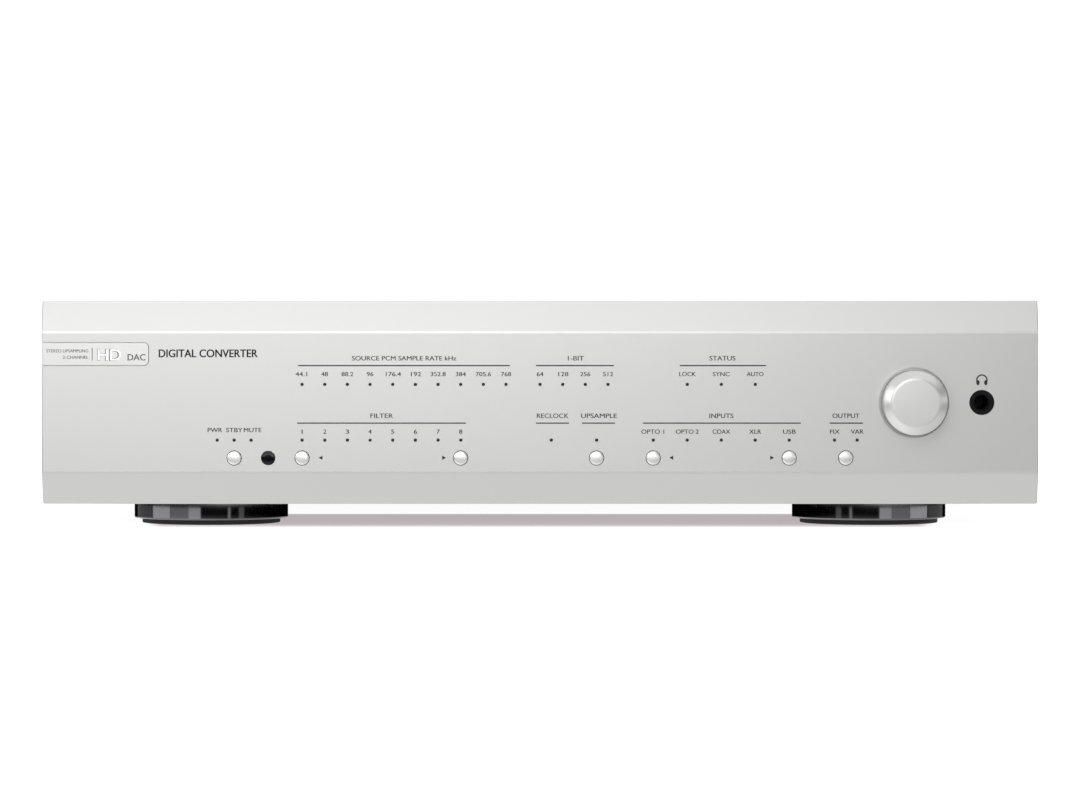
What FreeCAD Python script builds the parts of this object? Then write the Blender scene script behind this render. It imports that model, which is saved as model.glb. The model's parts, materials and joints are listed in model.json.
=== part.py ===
import FreeCAD, Part
import math
import os

# A full-width digital to analogue converter: a bevelled aluminium fascia on a folded steel
# case, four turned feet, a volume knob, seven push buttons and a rear panel of sockets.
# Millimetres. +Z is up, the front faces -Y and +X is to the right. The origin is on the
# resting surface, under the middle of the overall box.

Vector = FreeCAD.Vector
X_AXIS, Y_AXIS, Z_AXIS = Vector(1, 0, 0), Vector(0, 1, 0), Vector(0, 0, 1)

# ---------------------------------------------------------------- driving dimensions
fascia_width = 440.0
fascia_height = 90.0
fascia_thickness = 12.0
bevel_height = 14.0         # of the sloping band along the fascia's top and bottom
bevel_depth = 5.5           # how far a band falls back at the outer edge
edge_facet = 0.5            # small facet where a band meets the flat front
end_chamfer = 0.4
foot_gap = 10.0             # resting surface to the fascia's lower edge
case_depth = 340.0          # fascia's back to the rear panel's outer face
case_inset = 4.0            # fascia's end to the cover's side
base_rise = 2.0             # fascia's lower edge to the case's underside
cover_drop = 2.0            # fascia's upper edge to the cover's top
sheet = 1.5                 # folded steel of the base and the cover
panel = 2.0                 # flat steel of the front frame and the rear panel

fit_gap = 0.05              # pieces that are fixed in each other
run_gap = 0.06              # a shaft in its bush
slide_gap = 0.25            # a button in its hole

badge_length = 47.2
badge_height = 9.9
badge_bottom = 61.4         # above the fascia's lower edge
badge_thickness = 1.5
badge_corner = 2.0
badge_seam = 0.35

knob_diameter = 28.4
knob_face_diameter = 21.8
knob_chamfer_depth = 3.2
knob_proud = 15.5
knob_inset = 55.0           # fascia's right end to the knob's axis
knob_recess_gap = 1.3
knob_recess_depth = 4.0
shaft_diameter = 6.0
knob_z = 45.0               # above the fascia's lower edge, as are the next five

upper_led_z = 53.0
lower_led_z = 28.4
button_z = 20.5
jack_z = 45.0
led_diameter = 1.4
led_rows = {                # row height: (first x, count, pitch) from the fascia's middle
    upper_led_z: [(-105.0, 10, 10.0), (0.0, 4, 10.0), (65.0, 3, 15.0)],
    lower_led_z: [(-142.5, 3, 7.5), (-105.0, 8, 10.0), (5.0, 1, 10.0), (25.0, 1, 10.0),
                  (50.0, 5, 15.0), (130.0, 2, 10.0)],
}
button_diameter = 6.2
button_proud = 0.8
button_travel = 0.5
button_x = {
    "standby_button": -135.0, "filter_down_button": -105.0, "filter_up_button": -35.0,
    "upsample_button": 25.0, "input_down_button": 50.0, "input_up_button": 110.0,
    "output_button": 135.0,
}
remote_x = -120.0
remote_diameter = 6.3

jack_inset = 25.0           # fascia's right end to the headphone socket's axis
jack_nose_diameter = 11.0
jack_bore = 6.4             # takes a 6.35 mm plug
jack_bore_length = 33.0
jack_recess = 0.8

foot_diameter = 69.0
foot_pad_diameter = 62.0
foot_pad_proud = 2.2
foot_x = 148.0              # feet from the middle
foot_edge_gap = 3.5         # fascia's back to the front feet's nearest edge
rear_foot_inset = 50.0      # rear panel to the rear feet's middles

front_board_gap = 14.0      # fascia's back to the front board
board_thickness = 1.6
main_board_rise = 22.0
power_board_rise = 8.0
main_board_size = (279.0, 140.0)
power_board_size = (135.0, 118.0)
toroid_diameter = 100.0
toroid_height = 42.0
toroid_hole = 34.0

terminal_proud = 12.0       # phono sockets stand out of the rear panel by this
socket_z = 54.0             # from the resting surface: socket and inlet centres
inlet_x = 54.5              # from the left wall
rocker_x = 104.5
xlr_out_x = (24.5, 59.5)    # these are from the right wall
phono_x = (94.5, 116.5, 142.5)
optical_x = (164.5, 182.5)
usb_x = 206.5
xlr_in_x = 242.5
rocker_tilt = 12.0          # each way from the middle, degrees

# ---------------------------------------------------------------- shared places
overall_depth = knob_proud + fascia_thickness + case_depth + terminal_proud
front_y = -overall_depth / 2 + knob_proud
fascia_back = front_y + fascia_thickness
frame_back = fascia_back + panel
rear_y = fascia_back + case_depth
rear_inside = rear_y - panel
board_y = fascia_back + front_board_gap
fascia_bottom = foot_gap
fascia_top = fascia_bottom + fascia_height
base_z = fascia_bottom + base_rise
floor_z = base_z + sheet
cover_top = fascia_top - cover_drop
cover_under = cover_top - sheet
case_half = fascia_width / 2 - case_inset
wall_half = case_half - sheet          # outer face of the base's side walls
knob_x = fascia_width / 2 - knob_inset
jack_x = fascia_width / 2 - jack_inset
main_board_z = floor_z + main_board_rise
power_board_z = floor_z + power_board_rise
front_foot_y = fascia_back + foot_edge_gap + foot_diameter / 2
rear_foot_y = rear_y - rear_foot_inset
feet = {"front_left": (-foot_x, front_foot_y), "front_right": (foot_x, front_foot_y),
        "rear_left": (-foot_x, rear_foot_y), "rear_right": (foot_x, rear_foot_y)}
toroid_x, toroid_y = -wall_half + 70.0, frame_back + 95.0
main_board_x1 = wall_half - sheet - 4.0
main_board_x0 = main_board_x1 - main_board_size[0]
main_board_y1 = rear_inside - sheet - 1.0
main_board_y0 = main_board_y1 - main_board_size[1]
power_board_x0 = toroid_x + toroid_diameter / 2 + 14.0
power_board_y0 = board_y + board_thickness + 16.0
screw_radius, screw_head, screw_head_height = 1.45, 2.75, 1.8


# ---------------------------------------------------------------- shape helpers
def box(x0, x1, y0, y1, z0, z1):
    return Part.makeBox(x1 - x0, y1 - y0, z1 - z0, Vector(x0, y0, z0))


def rod_x(y, z, radius, x0, x1):
    return Part.makeCylinder(radius, x1 - x0, Vector(x0, y, z), X_AXIS)


def rod_y(x, z, radius, y0, y1):
    return Part.makeCylinder(radius, y1 - y0, Vector(x, y0, z), Y_AXIS)


def rod_z(x, y, radius, z0, z1):
    return Part.makeCylinder(radius, z1 - z0, Vector(x, y, z0), Z_AXIS)


def prism_x(points, x0, x1):
    """A polygon of (y, z) points carried from x0 to x1."""
    corners = [Vector(x0, y, z) for y, z in points]
    return Part.Face(Part.makePolygon(corners + corners[:1])).extrude(Vector(x1 - x0, 0, 0))


def prism_y(points, y0, y1):
    """A polygon of (x, z) points carried from y0 to y1."""
    corners = [Vector(x, y0, z) for x, z in points]
    return Part.Face(Part.makePolygon(corners + corners[:1])).extrude(Vector(0, y1 - y0, 0))


def turned_y(x, z, profile):
    """A closed profile of (radius, y) points turned about the Y line through (x, z)."""
    corners = [Vector(x + r, y, z) for r, y in profile]
    face = Part.Face(Part.makePolygon(corners + corners[:1]))
    return face.revolve(Vector(x, 0, z), Y_AXIS, 360)


def turned_z(x, y, profile):
    """A closed profile of (radius, z) points turned about the Z line through (x, y)."""
    corners = [Vector(x + r, y, z) for r, z in profile]
    face = Part.Face(Part.makePolygon(corners + corners[:1]))
    return face.revolve(Vector(x, y, 0), Z_AXIS, 360)


def round_edges(shape, radius, wanted):
    return shape.makeFillet(radius, [edge for edge in shape.Edges if wanted(edge)])


def along_y(edge):
    ends = [vertex.Point for vertex in edge.Vertexes]
    return len(ends) == 2 and (ends[0] - ends[1]).cross(Y_AXIS).Length < 1e-6


def plate_y(x, z, width, height, y0, y1, corner):
    """A plate facing Y, centred on (x, z), with rounded corners."""
    plate = box(x - width / 2, x + width / 2, y0, y1, z - height / 2, z + height / 2)
    return round_edges(plate, corner, along_y)


def hexagon_y(x, z, flats, y0, y1):
    corners = [(x + flats / math.sqrt(3) * math.cos(math.radians(a)),
                z + flats / math.sqrt(3) * math.sin(math.radians(a))) for a in range(0, 360, 60)]
    return prism_y(corners, y0, y1)


def screw_z(x, y, seat, length, radius=screw_radius, head=screw_head, height=screw_head_height):
    """A pan-head screw pointing down, its head standing on the height seat."""
    return rod_z(x, y, head, seat, seat + height).fuse(rod_z(x, y, radius, seat - length, seat)).removeSplitter()


def screw_y(x, z, seat, length, way):
    """A pan-head screw along Y: way is the sign of y in which it points."""
    head = rod_y(x, z, screw_head, *sorted((seat, seat - way * screw_head_height)))
    shank = rod_y(x, z, screw_radius, *sorted((seat, seat + way * length)))
    return head.fuse(shank).removeSplitter()


def led_places():
    return [(first + i * pitch, fascia_bottom + row)
            for row, runs in led_rows.items() for first, count, pitch in runs for i in range(count)]


def fascia_screw_places():
    half = fascia_width / 2
    columns = (-half + 15.0, -65.0, 65.0, half - 15.0)
    return [(x, z) for x in columns for z in (base_z + 6.0, cover_under - 5.0)]


def front_post_places():
    return [(x, z) for x in (-149.0, -5.0, 148.0) for z in (fascia_bottom + 14.5, fascia_bottom + 60.0)]


def floor_post_places():
    """(x, y, underside of the board) of every upright post."""
    inset = 5.0
    main = [(x, y, main_board_z)
            for x in (main_board_x0 + inset, (main_board_x0 + main_board_x1) / 2, main_board_x1 - inset)
            for y in (main_board_y0 + inset, main_board_y1 - 30.0)]
    power_x = (power_board_x0 + inset, power_board_x0 + power_board_size[0] - inset)
    power_y = (power_board_y0 + inset, power_board_y0 + power_board_size[1] - inset)
    power = [(x, y, power_board_z) for x in power_x for y in power_y]
    phones = [(jack_x + dx, frame_back + 37.0, headphone_board_z()) for dx in (-11.0, 11.0)]
    return main + power + phones


def headphone_board_z():
    return fascia_bottom + jack_z - 8.0 - board_thickness


def rear_x(from_right_wall):
    return wall_half - from_right_wall


# ---------------------------------------------------------------- front
def fascia_blank():
    fall = edge_facet * bevel_depth / bevel_height
    back_edge = front_y + bevel_depth
    low, high = fascia_bottom + bevel_height, fascia_top - bevel_height
    profile = [(back_edge, fascia_bottom), (front_y + fall, low - edge_facet), (front_y, low + edge_facet),
               (front_y, high - edge_facet), (front_y + fall, high + edge_facet), (back_edge, fascia_top),
               (fascia_back, fascia_top), (fascia_back, fascia_bottom)]
    blank = prism_x(profile, -fascia_width / 2, fascia_width / 2)
    ends = [edge for edge in blank.Edges
            if abs(abs(edge.CenterOfMass.x) - fascia_width / 2) < 1e-6 and edge.CenterOfMass.y < fascia_back - 1e-6]
    return blank.makeChamfer(end_chamfer, ends)


def badge_shape(grow, y0, y1):
    left = -fascia_width / 2 + (end_chamfer if grow == 0 else -1.0)
    right = -fascia_width / 2 + badge_length + grow
    low = fascia_bottom + badge_bottom - grow
    shape = box(left, right, y0, y1, low, low + badge_height + 2 * grow)
    return round_edges(shape, badge_corner + grow,
                       lambda edge: along_y(edge) and edge.CenterOfMass.x > right - 0.01)


def make_fascia():
    button_hole = button_diameter / 2 + slide_gap
    web_front = front_y + knob_recess_depth
    tools = [badge_shape(badge_seam, front_y - 1, front_y + badge_thickness)]
    tools += [rod_y(x, z, led_diameter / 2 + fit_gap, front_y - 1, fascia_back + 1) for x, z in led_places()]
    for x in button_x.values():
        z = fascia_bottom + button_z
        tools.append(rod_y(x, z, button_hole, front_y - 1, fascia_back + 1))
        tools.append(rod_y(x, z, button_hole + 1.5, fascia_back - 2.5, fascia_back + 1))
    window_z = fascia_bottom + button_z
    tools.append(rod_y(remote_x, window_z, remote_diameter / 2 + fit_gap, front_y - 1, fascia_back + 1))
    tools.append(rod_y(remote_x, window_z, remote_diameter / 2 + 1.5, fascia_back - 2.5, fascia_back + 1))
    knob_height = fascia_bottom + knob_z
    tools.append(rod_y(knob_x, knob_height, knob_diameter / 2 + knob_recess_gap, front_y - 1, web_front))
    tools.append(rod_y(knob_x, knob_height, shaft_diameter / 2 + 0.5, front_y - 1, fascia_back + 1))
    tools.append(rod_y(knob_x, knob_height, 9.0, fascia_back - 5.0, fascia_back + 1))
    tools.append(rod_y(jack_x, fascia_bottom + jack_z, jack_nose_diameter / 2 + fit_gap, front_y - 1,
                       fascia_back + 1))
    tools += [rod_y(x, z, 1.65, fascia_back - 6.5, fascia_back + 1) for x, z in fascia_screw_places()]
    return fascia_blank().cut(tools)


def make_badge():
    return badge_shape(0, front_y + fit_gap, front_y + badge_thickness)


def make_fascia_screws():
    return [rod_y(x, z, 3.4, frame_back, frame_back + 2.4)
            .fuse(rod_y(x, z, 1.6, fascia_back - 6.0, frame_back)).removeSplitter()
            for x, z in fascia_screw_places()]


def make_front_frame():
    plate = box(-wall_half, wall_half, fascia_back, frame_back, base_z, cover_under)
    z_button = fascia_bottom + button_z
    tools = [rod_y(x, z, 1.0, fascia_back - 1, frame_back + 1) for x, z in led_places()]
    tools += [rod_y(x, z_button, 3.0, fascia_back - 1, frame_back + 1) for x in button_x.values()]
    tools.append(rod_y(remote_x, z_button, 4.0, fascia_back - 1, frame_back + 1))
    tools.append(rod_y(knob_x, fascia_bottom + knob_z, 4.5 + fit_gap, fascia_back - 1, frame_back + 1))
    tools.append(rod_y(jack_x, fascia_bottom + jack_z, jack_nose_diameter / 2 + fit_gap, fascia_back - 1,
                       frame_back + 1))
    tools += [rod_y(x, z, 1.7, fascia_back - 1, frame_back + 1) for x, z in fascia_screw_places()]
    return plate.cut(tools)


def make_knob():
    outer, face = knob_diameter / 2, knob_face_diameter / 2
    tip = front_y - knob_proud
    back = front_y + knob_recess_depth - 1.0
    bore = shaft_diameter / 2 + fit_gap
    bore_end = tip + 4.0
    profile = [(0, tip), (face, tip), (outer, tip + knob_chamfer_depth), (outer, back - 0.5),
               (outer - 0.5, back), (bore, back), (bore, bore_end), (0, bore_end)]
    return turned_y(knob_x, fascia_bottom + knob_z, profile)


def make_encoder_shaft():
    tip = front_y - knob_proud + 4.5
    r, z = shaft_diameter / 2, fascia_bottom + knob_z
    profile = [(0, tip), (r, tip), (r, frame_back + 2.6), (r + 1.1, frame_back + 2.6),
               (r + 1.1, frame_back + 5.6), (0, frame_back + 5.6)]
    return turned_y(knob_x, z, profile)


def make_encoder_body():
    z = fascia_bottom + knob_z
    r = shaft_diameter / 2
    body = box(knob_x - 7, knob_x + 7, frame_back, frame_back + 8.5, z - 7, z + 7)
    body = body.fuse(rod_y(knob_x, z, 4.5, fascia_back - 4.5, frame_back)).removeSplitter()
    bore = rod_y(knob_x, z, r + run_gap, fascia_back - 5, frame_back + 3)
    pocket = rod_y(knob_x, z, r + 1.4, frame_back + 2.2, frame_back + 6.2)
    return body.cut([bore, pocket])


def make_encoder_nut():
    z = fascia_bottom + knob_z
    nut = hexagon_y(knob_x, z, 12.0, fascia_back - 2.5, fascia_back)
    return nut.cut(rod_y(knob_x, z, 4.5 + fit_gap, fascia_back - 3, fascia_back + 1))


def make_button(x):
    """A cap, a retaining flange, a stem and a tip that runs in its switch."""
    z, switch_face = fascia_bottom + button_z, board_y - 5.0
    r, flange = button_diameter / 2, button_diameter / 2 + 1.2
    dome = 0.25
    profile = [(0, front_y - button_proud - dome), (r * 0.55, front_y - button_proud - dome * 0.7),
               (r - 0.3, front_y - button_proud), (r, front_y - button_proud + 0.3), (r, fascia_back - 2.2),
               (flange, fascia_back - 2.2), (flange, fascia_back - 1.0), (2.4, fascia_back - 1.0),
               (2.4, switch_face - button_travel - 0.2), (1.7, switch_face - button_travel - 0.2),
               (1.7, switch_face + 1.0), (0, switch_face + 1.0)]
    return turned_y(x, z, profile)


def make_button_switches():
    z, face = fascia_bottom + button_z, board_y - 5.0
    return [box(x - 3, x + 3, face, board_y, z - 3, z + 3)
            .cut(rod_y(x, z, 1.8, face - 1, face + 1.0 + button_travel + 0.7)) for x in button_x.values()]


def make_front_board():
    low, high = fascia_bottom + 11.0, fascia_bottom + 63.5
    board = box(-152.5, 151.5, board_y, board_y + board_thickness, low, high)
    return board.cut([rod_y(x, z, 1.6, board_y - 1, board_y + 5) for x, z in front_post_places()])


def make_light_pipes():
    return [rod_y(x, z, led_diameter / 2, front_y + fit_gap, board_y - 1.4) for x, z in led_places()]


def make_status_leds():
    return [box(x - 1, x + 1, board_y - 1.1, board_y, z - 0.6, z + 0.6) for x, z in led_places()]


def make_remote_window():
    z, r = fascia_bottom + button_z, remote_diameter / 2
    profile = [(0, front_y + 0.1), (r - 0.4, front_y + 0.1), (r, front_y + 0.5), (r, fascia_back - 2.4),
               (r + 1.2, fascia_back - 2.4), (r + 1.2, fascia_back), (0, fascia_back)]
    return turned_y(remote_x, z, profile)


def make_remote_receiver():
    z = fascia_bottom + button_z
    block = box(remote_x - 3.0, remote_x + 3.0, board_y - 4.5, board_y, z - 3.5, z + 3.5)
    return block.fuse(rod_y(remote_x, z, 2.2, board_y - 6.0, board_y - 4.5)).removeSplitter()


def make_headphone_jack():
    z, nose = fascia_bottom + jack_z, jack_nose_diameter / 2
    body = box(jack_x - 8, jack_x + 8, frame_back, front_y + jack_recess + jack_bore_length + 2.0, z - 8, z + 8)
    body = body.fuse(rod_y(jack_x, z, nose, front_y + jack_recess, frame_back)).removeSplitter()
    r = jack_bore / 2
    entry = turned_y(jack_x, z, [(0, front_y), (r + 0.9, front_y), (r + 0.9, front_y + jack_recess),
                                 (r, front_y + jack_recess + 0.9), (0, front_y + jack_recess + 0.9)])
    bore = rod_y(jack_x, z, r, front_y, front_y + jack_recess + jack_bore_length)
    return body.cut([entry, bore])


def make_headphone_board():
    z = headphone_board_z()
    board = box(jack_x - 16, jack_x + 16, frame_back + 1.0, frame_back + 43.0, z, z + board_thickness)
    return board.cut([rod_z(jack_x + dx, frame_back + 37.0, 1.6, z - 1, z + 5) for dx in (-11.0, 11.0)])


# ---------------------------------------------------------------- case
def cover_screw_places():
    """(y, z) of the three screws in each side."""
    z = floor_z + 9.0
    return [(y, z) for y in (frame_back + 25.0, (frame_back + rear_y) / 2, rear_y - 25.0)]


def panel_screw_places():
    """(x, z) of the screws that hold the rear panel to the base's rear flange."""
    return [(x, floor_z + 5.0) for x in (-wall_half + 30.0, 0.0, wall_half - 30.0)]


def make_base():
    floor = box(-wall_half, wall_half, frame_back, rear_inside, base_z, floor_z)
    wall_top = floor_z + 20.0
    left = box(-wall_half, -wall_half + sheet, frame_back, rear_inside, floor_z, wall_top)
    right = box(wall_half - sheet, wall_half, frame_back, rear_inside, floor_z, wall_top)
    rear = box(-wall_half + 20, wall_half - 20, rear_inside - sheet, rear_inside, floor_z, floor_z + 10.0)
    bosses = [rod_z(x, y, 4.5, floor_z, floor_z + 4.0) for x, y in feet.values()]
    bosses.append(rod_z(toroid_x, toroid_y, 6.5, floor_z, floor_z + 8.0))
    base = floor.fuse([left, right, rear] + bosses).removeSplitter()
    tools = [rod_z(x, y, 2.5 + fit_gap, base_z - 1, floor_z + 5) for x, y in feet.values()]
    tools.append(rod_z(toroid_x, toroid_y, 3.0 + fit_gap, base_z - 1, floor_z + 9))
    for y, z in cover_screw_places():
        tools.append(rod_x(y, z, screw_radius + fit_gap, -wall_half - 1, -wall_half + 4))
        tools.append(rod_x(y, z, screw_radius + fit_gap, wall_half - 4, wall_half + 1))
    tools += [rod_y(x, z, screw_radius + fit_gap, rear_inside - 4, rear_inside + 1) for x, z in panel_screw_places()]
    slot_y = power_board_y0 + 20.0
    tools += [box(power_board_x0 + 10.0 + i * 9.0, power_board_x0 + 14.0 + i * 9.0, slot_y, slot_y + 60.0,
                  base_z - 1, floor_z + 1) for i in range(12)]
    return base.cut(tools)


def make_top_cover():
    shell = box(-case_half, case_half, fascia_back, rear_y, base_z, cover_top)
    shell = round_edges(shell, 1.2, lambda edge: along_y(edge) and edge.CenterOfMass.z > cover_under)
    inside = box(-wall_half, wall_half, fascia_back - 1, rear_y + 1, base_z - 1, cover_under)
    tools = [inside]
    for y, z in cover_screw_places():
        tools.append(rod_x(y, z, screw_radius + 0.15, -case_half - 1, -case_half + 4))
        tools.append(rod_x(y, z, screw_radius + 0.15, case_half - 4, case_half + 1))
    slot, pitch, length = 3.0, 9.0, 70.0
    for middle_x in (toroid_x + 20.0, power_board_x0 + power_board_size[0] + 60.0):
        for i in range(12):
            x = middle_x + (i - 5.5) * pitch
            y = toroid_y - length / 2
            tools.append(box(x - slot / 2, x + slot / 2, y, y + length, cover_under - 1, cover_top + 1))
    return shell.cut(tools)


def make_panel_screws():
    """Identical M3 screws: cover sides, rear panel, the inlet and the three-pin sockets."""
    screws = []
    for y, z in cover_screw_places():
        for side in (-1, 1):
            head = sorted((side * case_half, side * (case_half + screw_head_height)))
            shank = sorted((side * case_half, side * (case_half - 6.0)))
            screws.append(rod_x(y, z, screw_head, *head).fuse(rod_x(y, z, screw_radius, *shank)).removeSplitter())
    screws += [screw_y(x, z, rear_y, 6.0, -1) for x, z in panel_screw_places()]
    screws += [screw_y(x, z, rear_y + 2.5, 6.0, -1) for x, z in xlr_screw_places()]
    screws += [screw_y(x, z, rear_y + 3.0, 6.0, -1) for x, z in inlet_screw_places()]
    return screws


def xlr_screw_places():
    centres = [rear_x(x) for x in xlr_out_x + (xlr_in_x,)]
    return [(x + side * 9.8, socket_z - side * 12.2) for x in centres for side in (-1, 1)]


def inlet_screw_places():
    return [(-wall_half + inlet_x + side * 20.0, socket_z) for side in (-1, 1)]


def make_rear_panel():
    plate = box(-wall_half, wall_half, rear_inside, rear_y, base_z, cover_under)
    y0, y1 = rear_inside - 1, rear_y + 1
    tools = [rod_y(x, z, screw_radius + fit_gap, y0, y1)
             for x, z in panel_screw_places() + xlr_screw_places() + inlet_screw_places()]
    tools += [rod_y(rear_x(x), socket_z, 11.6, y0, y1) for x in xlr_out_x + (xlr_in_x,)]
    tools += [rod_y(rear_x(x), phono_height(), 4.5, y0, y1) for x in phono_x]
    latch_x = rear_x(xlr_in_x)
    tools.append(box(latch_x - 2.6, latch_x + 2.6, y0, y1, socket_z + 10.0, socket_z + 15.4))
    for x in optical_x:
        tools.append(box(rear_x(x) - 5.1, rear_x(x) + 5.1, y0, y1, optical_height() - 5.3, optical_height() + 5.3))
    x, z = rear_x(usb_x), usb_height()
    tools.append(box(x - 6.1, x + 6.1, y0, y1, z - 5.7, z + 5.7))
    x = -wall_half + inlet_x
    tools.append(box(x - 14.1, x + 14.1, y0, y1, socket_z - 18.1, socket_z + 18.1))
    x = -wall_half + rocker_x
    tools.append(box(x - 10.1, x + 10.1, y0, y1, socket_z - 13.1, socket_z + 13.1))
    return plate.cut(tools)


def make_foot(x, y):
    """A turned aluminium foot with a recess for its pad and a counterbore for its screw."""
    r, pad_r = foot_diameter / 2, foot_pad_diameter / 2
    low, chamfer = foot_pad_proud, 0.8
    profile = [(2.6, low + 4.8), (5.5, low + 4.8), (5.5, low + 1.5), (pad_r + 0.2, low + 1.5),
               (pad_r + 0.2, low), (r - chamfer, low), (r, low + chamfer), (r, base_z - 0.5),
               (r - 0.5, base_z), (2.6, base_z)]
    return turned_z(x, y, profile)


def make_foot_pads():
    r = foot_pad_diameter / 2
    profile = [(5.5, 0), (r - 0.6, 0), (r, 0.6), (r, foot_pad_proud + 1.5), (5.5, foot_pad_proud + 1.5)]
    return [turned_z(x, y, profile) for x, y in feet.values()]


def make_foot_screws():
    seat = foot_pad_proud + 4.8
    return [rod_z(x, y, 4.6, seat - 3.0, seat).fuse(rod_z(x, y, 2.45, seat, floor_z + 3.5)).removeSplitter()
            for x, y in feet.values()]


# ---------------------------------------------------------------- inside
def drill(board, z, posts):
    return board.cut([rod_z(x, y, 1.6, z - 1, z + 5) for x, y, height in posts if height == z])


def make_main_board():
    board = box(main_board_x0, main_board_x1, main_board_y0, main_board_y1, main_board_z,
                main_board_z + board_thickness)
    return drill(board, main_board_z, floor_post_places())


def make_power_board():
    board = box(power_board_x0, power_board_x0 + power_board_size[0], power_board_y0,
                power_board_y0 + power_board_size[1], power_board_z, power_board_z + board_thickness)
    return drill(board, power_board_z, floor_post_places())


def make_posts():
    upright = [rod_z(x, y, 2.9, floor_z, height).cut(rod_z(x, y, 1.5, height - 6, height + 1))
               for x, y, height in floor_post_places()]
    level = [rod_y(x, z, 2.9, frame_back, board_y).cut(rod_y(x, z, 1.5, board_y - 6, board_y + 1))
             for x, z in front_post_places()]
    return upright + level


def make_board_screws():
    upright = [screw_z(x, y, height + board_thickness, 6.0) for x, y, height in floor_post_places()]
    level = [screw_y(x, z, board_y + board_thickness, 6.0, -1) for x, z in front_post_places()]
    return upright + level


def make_toroid():
    low = floor_z + 2.0
    r, hole, round_off = toroid_diameter / 2, toroid_hole / 2, 9.0
    profile = [(hole, low + round_off / 2), (hole + round_off / 2, low), (r - round_off, low),
               (r, low + round_off), (r, low + toroid_height - round_off),
               (r - round_off, low + toroid_height), (hole + round_off / 2, low + toroid_height),
               (hole, low + toroid_height - round_off / 2)]
    return turned_z(toroid_x, toroid_y, profile)


def make_toroid_pads():
    r = toroid_diameter / 2 - 10.0
    hole = toroid_hole / 2 - 3.0
    top = floor_z + 2.0 + toroid_height
    return [rod_z(toroid_x, toroid_y, r, z, z + 2.0).cut(rod_z(toroid_x, toroid_y, hole, z - 1, z + 3))
            for z in (floor_z, top)]


def make_toroid_washer():
    seat = floor_z + 4.0 + toroid_height
    r = toroid_diameter / 2 - 12.0
    profile = [(3.2, seat - 3.0 + 1.8), (3.2, seat - 3.0), (7.8, seat - 3.0), (12.0, seat), (r, seat), (r, seat + 1.8),
               (11.2, seat + 1.8), (7.0, seat - 3.0 + 1.8)]
    return turned_z(toroid_x, toroid_y, profile)


def make_toroid_bolt():
    seat = floor_z + 1.0 + toroid_height + 1.8
    head = rod_z(toroid_x, toroid_y, 5.0, seat, seat + 4.0)
    return head.fuse(rod_z(toroid_x, toroid_y, 3.0, floor_z + 1.0, seat)).removeSplitter()


def make_capacitors():
    """Eight smoothing capacitors in two rows on the power board."""
    low, r, height = power_board_z + board_thickness, 10.0, 34.0
    places = [(power_board_x0 + 18.0 + i * 24.0, power_board_y0 + 22.0 + j * 26.0) for i in range(4) for j in range(2)]
    profile = [(0, 0), (r, 0), (r, 2.4), (r - 0.7, 3.0), (r - 0.7, 3.8), (r, 4.4), (r, height - 0.8),
               (r - 0.8, height), (0, height)]
    return [turned_z(x, y, [(rr, low + z) for rr, z in profile]) for x, y in places]


def make_regulators():
    """Four upright regulators, each screwed to its own finned heatsink."""
    low = power_board_z + board_thickness
    pieces = []
    for i in range(4):
        x, y = power_board_x0 + 20.0 + i * 30.0, power_board_y0 + 88.0
        sink = box(x - 11, x + 11, y, y + 12, low, low + 30)
        sink = sink.cut([box(x - 8 + k * 4, x - 6 + k * 4, y + 2.5, y + 13, low - 1, low + 31) for k in range(5)])
        pieces.append(sink)
        pieces.append(box(x - 5, x + 5, y - 4.6, y, low + 4, low + 20))
    return pieces


def chip_places():
    """(x, y, width, height) of the square packages on the main board."""
    x0, y0 = main_board_x0, main_board_y0
    return [(x0 + 60.0, y0 + 55.0, 24.0, 2.2), (x0 + 108.0, y0 + 60.0, 12.0, 1.6),
            (x0 + 172.0, y0 + 42.0, 12.0, 1.6), (x0 + 172.0, y0 + 78.0, 12.0, 1.6),
            (x0 + 135.0, y0 + 42.0, 9.0, 4.0), (x0 + 135.0, y0 + 78.0, 9.0, 4.0)]


def make_chips():
    low = main_board_z + board_thickness
    return [box(x - w / 2, x + w / 2, y - w / 2, y + w / 2, low, low + h) for x, y, w, h in chip_places()]


def make_relays():
    low, y = main_board_z + board_thickness, main_board_y1 - 52.0
    return [round_edges(box(x - 5, x + 5, y - 10, y + 10, low, low + 11), 0.8,
                        lambda edge: edge.CenterOfMass.z > low + 10.9)
            for x in (main_board_x1 - 28.0, main_board_x1 - 46.0, main_board_x1 - 64.0, main_board_x1 - 82.0)]


def make_ribbon():
    """A flat cable from the front board back over the power board and down to the main board."""
    x0, x1, thick, bend = main_board_x0 + 14.0, main_board_x0 + 40.0, 1.0, 10.0
    z = power_board_z + board_thickness + 38.0
    start = board_y + board_thickness
    down_y = main_board_y0 + 16.0
    flat = box(x0, x1, start, down_y - bend, z, z + thick)
    corner = rod_x(down_y - bend, z - bend + thick, bend, x0, x1)\
        .cut(rod_x(down_y - bend, z - bend + thick, bend - thick, x0 - 1, x1 + 1))\
        .common(box(x0, x1, down_y - bend, down_y, z - bend + thick, z + thick))
    drop = box(x0, x1, down_y - thick, down_y, main_board_z + board_thickness, z - bend + thick)
    return flat.fuse([corner, drop]).removeSplitter()


# ---------------------------------------------------------------- rear sockets
def phono_height():
    return socket_z


def optical_height():
    return main_board_z + board_thickness + 5.2


def usb_height():
    return main_board_z + board_thickness + 5.6


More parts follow.
